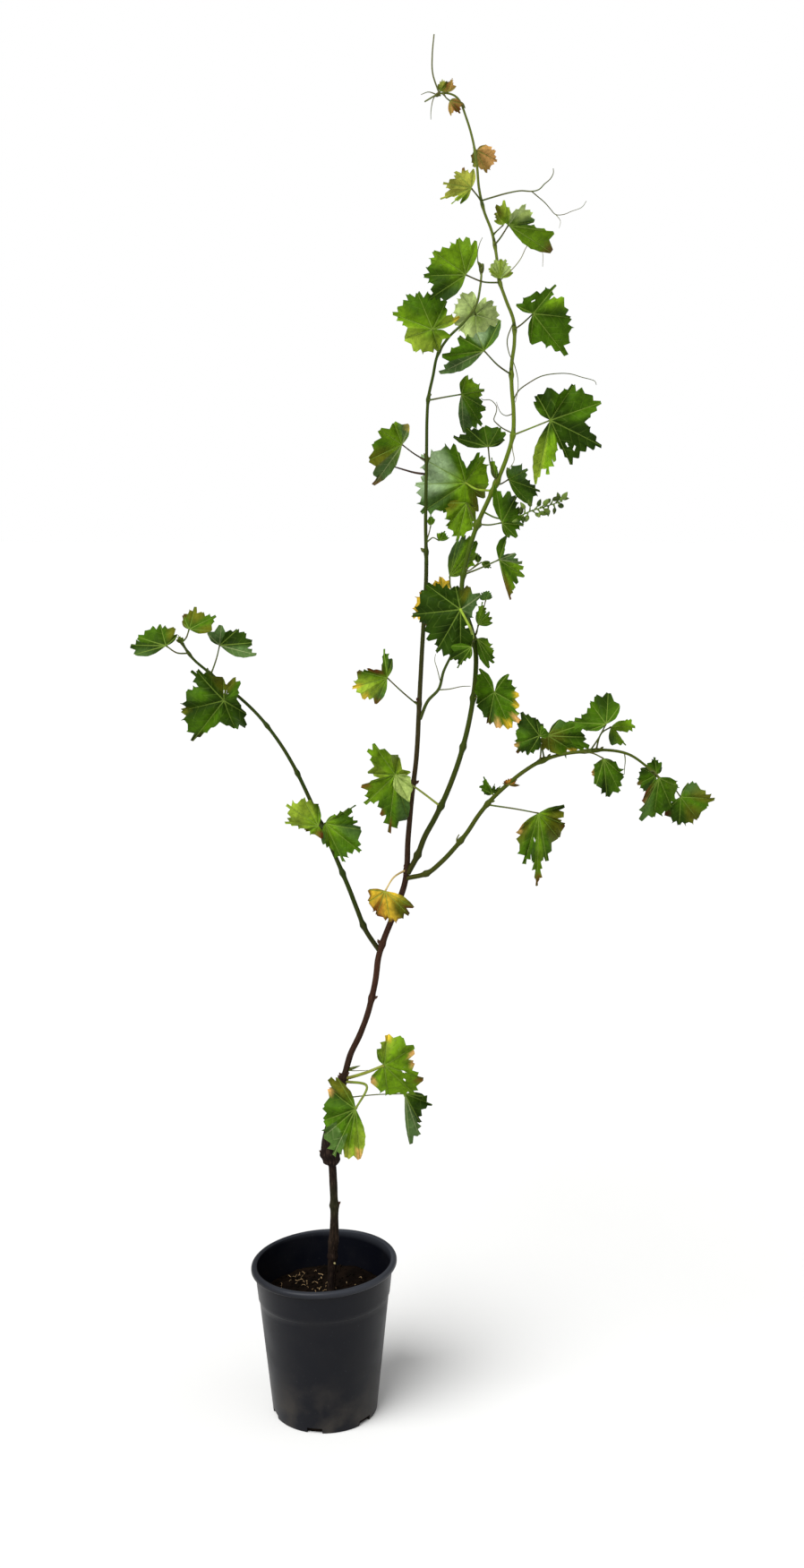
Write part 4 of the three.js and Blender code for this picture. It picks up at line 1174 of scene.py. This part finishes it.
# Stalks that stand out: colour, girth, and how far its middle arches forward in mm.
STALK_LOOKS = {
    "fork": ((206, 182, 116), 1.2, 0), "centre_dark": ((140, 168, 52), 1.7, 36),
    "behind_large": ((140, 168, 52), 1.3, 0), "graft_right": ((124, 134, 48), 2.1, 0),
    "graft_front": ((112, 128, 44), 1.7, 0), "graft_hanging": ((100, 112, 50), 0.8, 0),
    "left_upper": ((56, 50, 28), 0.9, 0), "upright": ((70, 92, 34), 1.0, 0),
    "big_right": ((112, 134, 48), 1.1, 0), "top_bronze": ((140, 110, 60), 0.8, 0),
    "mid_bright": ((136, 148, 62), 1.3, 0),
}


def stalk_tube(points, radius, step=STALK_STEP, sides=STALK_SIDES):
    """A tapering stalk through points, swollen at both ends."""
    line, share, marks = smooth_line(points, step)
    foot, head = (np.exp(-(gap / STALK_SWELLING) ** 2) for gap in (marks, marks[-1] - marks))
    return round_stem(line, radius * (1.25 - 0.4 * share) * (1 + 0.9 * foot + 0.35 * head), sides)


def sappy_skin(tree, flush):
    """Its own colour, with a flush of wine red."""
    patchy = worn(tree, 70.0, 900.0)["Blotches"]
    colour = mixed(tree, times(tree, patchy, flush), attribute(tree, "tint", "Color"), SAP_FLUSH)
    return surface(colour, 0.55, 0.15, bumped(tree, patchy, 0.0003, 0.5))


def tinted_piece(name, rows, skin, flush):
    """Parts of soft young growth in one piece, from rows of a part and its colour."""
    parts, tints = zip(*rows)
    piece = mesh_object(name, *joined(parts), finish(skin, sappy_skin, flush))
    counts = [len(points) for points, _ in parts]
    add_colours(piece, np.repeat([linear(tint) for tint in tints], counts, axis=0))
    settled(piece, "green_shoot")


stalks, bud_seats = [], []
for name, leaf in LEAVES.items():
    stem, distance, root = leaf["foot"]
    colour, girth, bow = STALK_LOOKS.get(name, (STALK_COLOUR, 1.0, 0))
    start, middle, end = leaf["stalk"][::2]
    way = [root, start, middle - (0, bow / 1000, 0), end]
    stalks.append((stalk_tube(way, STALK_RADIUS * girth), colour))
    bud_seats.append((stem, distance, start - root))
for root, *way in young_ways:
    stalks.append((stalk_tube([root, (root + way[0]) / 2, *way], YOUNG_STALK_RADIUS), STALK_COLOUR))
tinted_piece("leaf_stalks", stalks, "stalk_skin", 0.5)


# ---- Buds ----
# Plump pointed buds that sit in the angle above each leaf stalk, and others at the bare nodes of
# the old cane. They are wrapped in brown scales on old wood and are green on the young shoots.
BUD_SIDES, BUD_ABOVE_STALK = 10, 0.004
BUD_SHARES = np.array([0.0, 0.12, 0.30, 0.50, 0.70, 0.86, 1.0])
BUD_WIDTHS = np.array([0.55, 0.85, 1.0, 0.92, 0.66, 0.36, 0.06])
BUD_GREEN, BUD_BROWN, BUD_SCAR = (70, 82, 26), (60, 36, 22), (168, 160, 112)
BARE_NODES = (0.13, 1.2)
# Length and half width of a bud above a leaf and of one on the cane.
LEAF_BUD, CANE_BUD = np.array([0.0048, 0.0016]), np.array([0.0056, 0.0019])
EXTRA_BUD_GIRTH = 0.0022
OLD_WOOD = 0.9
# Buds out of line, and the pale stub of one that was cut off the trunk. Rows: stem, distance along
# it in mm, which way it points (its length is 3 mm more than this), and its colour.
EXTRA_BUDS = [
    ("vine", 1393, "-2 0 8", BUD_GREEN), ("vine", 1393, "2 -1 9", BUD_GREEN),
    ("vine", 1400, "-4 0 5", BUD_GREEN), ("tall", 1039, "4 2 1", BUD_GREEN),
    ("tall", 1004, "4 -2 -5", BUD_GREEN), ("vine", 324, "17 0 6", BUD_GREEN),
    ("vine", 48, "3 -5 -1", BUD_SCAR),
]
bud_random = random.Random(41)


def bud(seat, way, length, girth):
    return round_stem(seat + np.outer(BUD_SHARES, way * length), BUD_WIDTHS * girth, BUD_SIDES)


def stem_at(stem, distance):
    """A stem's middle, its direction and its radius a distance along."""
    line, radii, distances = STEMS[stem]
    place = min(np.abs(distances - distance).argmin(), len(line) - 2)
    return line[place], unit(line[place + 1] - line[place]), radii[place]


buds = []
for stem, distance, outward in bud_seats:
    middle, along, radius = stem_at(stem, distance + BUD_ABOVE_STALK)
    seat = middle + unit(outward) * radius * 0.7
    size = bud_random.uniform(0.8, 1.25)
    tint = BUD_BROWN if distance < OLD_WOOD and stem == "vine" else BUD_GREEN
    buds.append((bud(seat, unit(along * 0.8 + unit(outward) * 0.6), *LEAF_BUD * size), tint))
for k, distance in enumerate(STEM_NODES["vine"]):
    if not BARE_NODES[0] <= distance <= BARE_NODES[1]:
        continue
    middle, along, radius = stem_at("vine", distance)
    out = unit(np.cross(along, (0.0, (-1.0) ** k, 0.15)))
    size = bud_random.uniform(0.9, 1.4)
    tint = BUD_BROWN if distance < OLD_WOOD else BUD_GREEN
    buds.append((bud(middle + out * radius * 0.8, (along + out) * 0.7, *CANE_BUD * size), tint))
for stem, distance, offset, tint in EXTRA_BUDS:
    seat, end = way_from(stem, distance, "0 0 0, " + offset)
    length = np.linalg.norm(end - seat) + 0.003
    buds.append((bud(seat, unit(end - seat), length, EXTRA_BUD_GIRTH), tint))
tinted_piece("buds", buds, "bud_skin", 0.3)


# ---- Tendrils ----
# Wiry climbing threads that leave the nodes opposite a leaf. They fork, curl at the ends and thin
# out to a hair; the oldest have turned brown.
TENDRIL_RADIUS = 0.00078
TENDRIL_SIDES = 6
TENDRIL_STEP = 0.003
TENDRIL_TINTS = {"green": (84, 94, 40), "pale": (120, 124, 70), "brown": (44, 32, 22)}
# Rows: stem, distance along it in mm, girth, colour, then points in mm from there.
TENDRILS = [
    "tall 1037 0.9 green: 0 0 0, -10 0 3, -19 0 0",
    "tall 1039 0.8 green: 0 0 0, -3 -4 -7, -5 -6 -19, -5 -4 -28",
    "tall 889 1.2 green: 0 0 0, 19 -4 5, 33 -8 8, 47 -10 10, 60 -12 9, 69 -14 11, 75 -14 17, 82 -12 23, "
    "86 -10 30, 86 -8 36",
    "tall 889 0.8 green: 60 -12 9, 68 -10 3, 76 -8 -3, 83 -6 -10, 90 -6 -17, 100 -8 -17, 108 -10 -14, "
    "121 -8 -9, 127 -4 -1",
    "tall 889 0.5 pale: 90 -6 -17, 96 -4 -24, 95 0 -32",
    "tall 739 0.9 green: 0 0 0, -8 -6 -21, -6 -8 -38, 0 -8 -50, 5 -5 -66, 6 -5 -81, 3 -4 -98",
    "tall 642 1.0 green: 0 0 0, 7 0 13, 19 -6 22, 34 -10 30, 51 -14 33, 69 -14 33, 85 -10 29, 101 -6 "
    "25, 104 -4 20",
    "tall 602 1.0 green: 0 0 0, -13 -4 6, -21 -8 12, -25 -10 17, -22 -10 26, -22 -6 34, -29 -4 41, -38 "
    "-6 41, -41 -8 43",
    "tall 627 0.8 green: 0 0 0, -9 -4 -3, -16 -8 0, -20 -8 7, -22 -4 14",
    "tall 792 0.7 pale: 0 0 0, 14 -6 12, 25 -8 25, 32 -6 39, 39 0 46, 46 4 45, 53 4 34, 53 0 17",
    "tall 597 0.7 pale: 0 0 0, 0 -5 -15, 2 -8 -28, -3 -8 -37, -8 -6 -41",
    "right 360 0.9 green: 0 0 0, 1 -2 -9, 1 2 -19, 1 4 -28",
    "side 47 1.0 green: 0 0 0, 14 -8 2, 29 -14 6, 41 -10 6",
    "side 57 0.8 green: 0 0 0, -2 -4 7, -5 -6 19, -8 -4 29, -7 0 37",
    "vine 1388 0.8 green: 0 0 0, -5 -3 24, -3 -5 38, 1 -4 47",
    "vine 1128 1.8 brown: 0 0 0, -15 4 2, -33 6 7, -50 4 12",
    "vine 324 0.9 green: 0 0 0, 12 -4 1, 22 -6 2, 30 -5 2",
    "right 93 1.6 green: 0 0 0, -1 -2 8, 2 -2 14",
]
tendrils = []
for row in TENDRILS:
    head, points = row.split(":")
    stem, distance, girth, tint = head.split()
    line, share, _ = smooth_line(way_from(stem, distance, points), TENDRIL_STEP)
    tube = round_stem(line, TENDRIL_RADIUS * float(girth) * (1.15 - 0.65 * share), TENDRIL_SIDES)
    tendrils.append((tube, TENDRIL_TINTS[tint]))
tinted_piece("tendrils", tendrils, "tendril_skin", 0.5)


# ---- Flower cluster ----
# A loose, branching cluster of long closed flower buds on a thin stalk, dark green, beside the
# crown. Each short branch ends in one or two buds that point outwards.
CLUSTER_STEM, CLUSTER_DISTANCE = "tall", 497
CLUSTER_STALK = "0 0 0, 18 -10 -8, 40 -16 -7, 59 -18 1, 78 -20 7, 97 -20 13"
CLUSTER_BARE, CLUSTER_STEP, CLUSTER_RADIUS = 0.38, 0.0034, 0.0010
BRANCH = (0.0007, 0.002, 5)
CLUSTER_COLOURS = [(50, 70, 16), (74, 98, 28), (102, 126, 52)]
FLOWER_SIZE = np.array([0.0105, 0.0029])
cluster_random = random.Random(53)
line, share, _ = smooth_line(way_from(CLUSTER_STEM, CLUSTER_DISTANCE, CLUSTER_STALK), CLUSTER_STEP)
cluster = [(round_stem(line, CLUSTER_RADIUS * (1.2 - 0.6 * share), 6), CLUSTER_COLOURS[1])]
for k, foot in enumerate(line[share > CLUSTER_BARE]):
    x, y = cluster_random.uniform(-0.2, 0.7), cluster_random.uniform(-0.7, 0.7)
    out = unit((x, y, (-1.0) ** k * cluster_random.uniform(0.5, 1.0)))
    end = foot + out * cluster_random.uniform(0.003, 0.008)
    cluster.append((stalk_tube([foot, (foot + end) / 2, end], *BRANCH), CLUSTER_COLOURS[2]))
    for _ in range(cluster_random.choice((1, 1, 2))):
        way = unit(out + [cluster_random.uniform(-0.9, 0.9) for _ in range(3)])
        size = cluster_random.uniform(0.75, 1.2)
        flower = bud(end, way, *FLOWER_SIZE * size)
        cluster.append((flower, cluster_random.choice(CLUSTER_COLOURS)))
tinted_piece("flower_cluster", cluster, "flower_skin", 0.15)
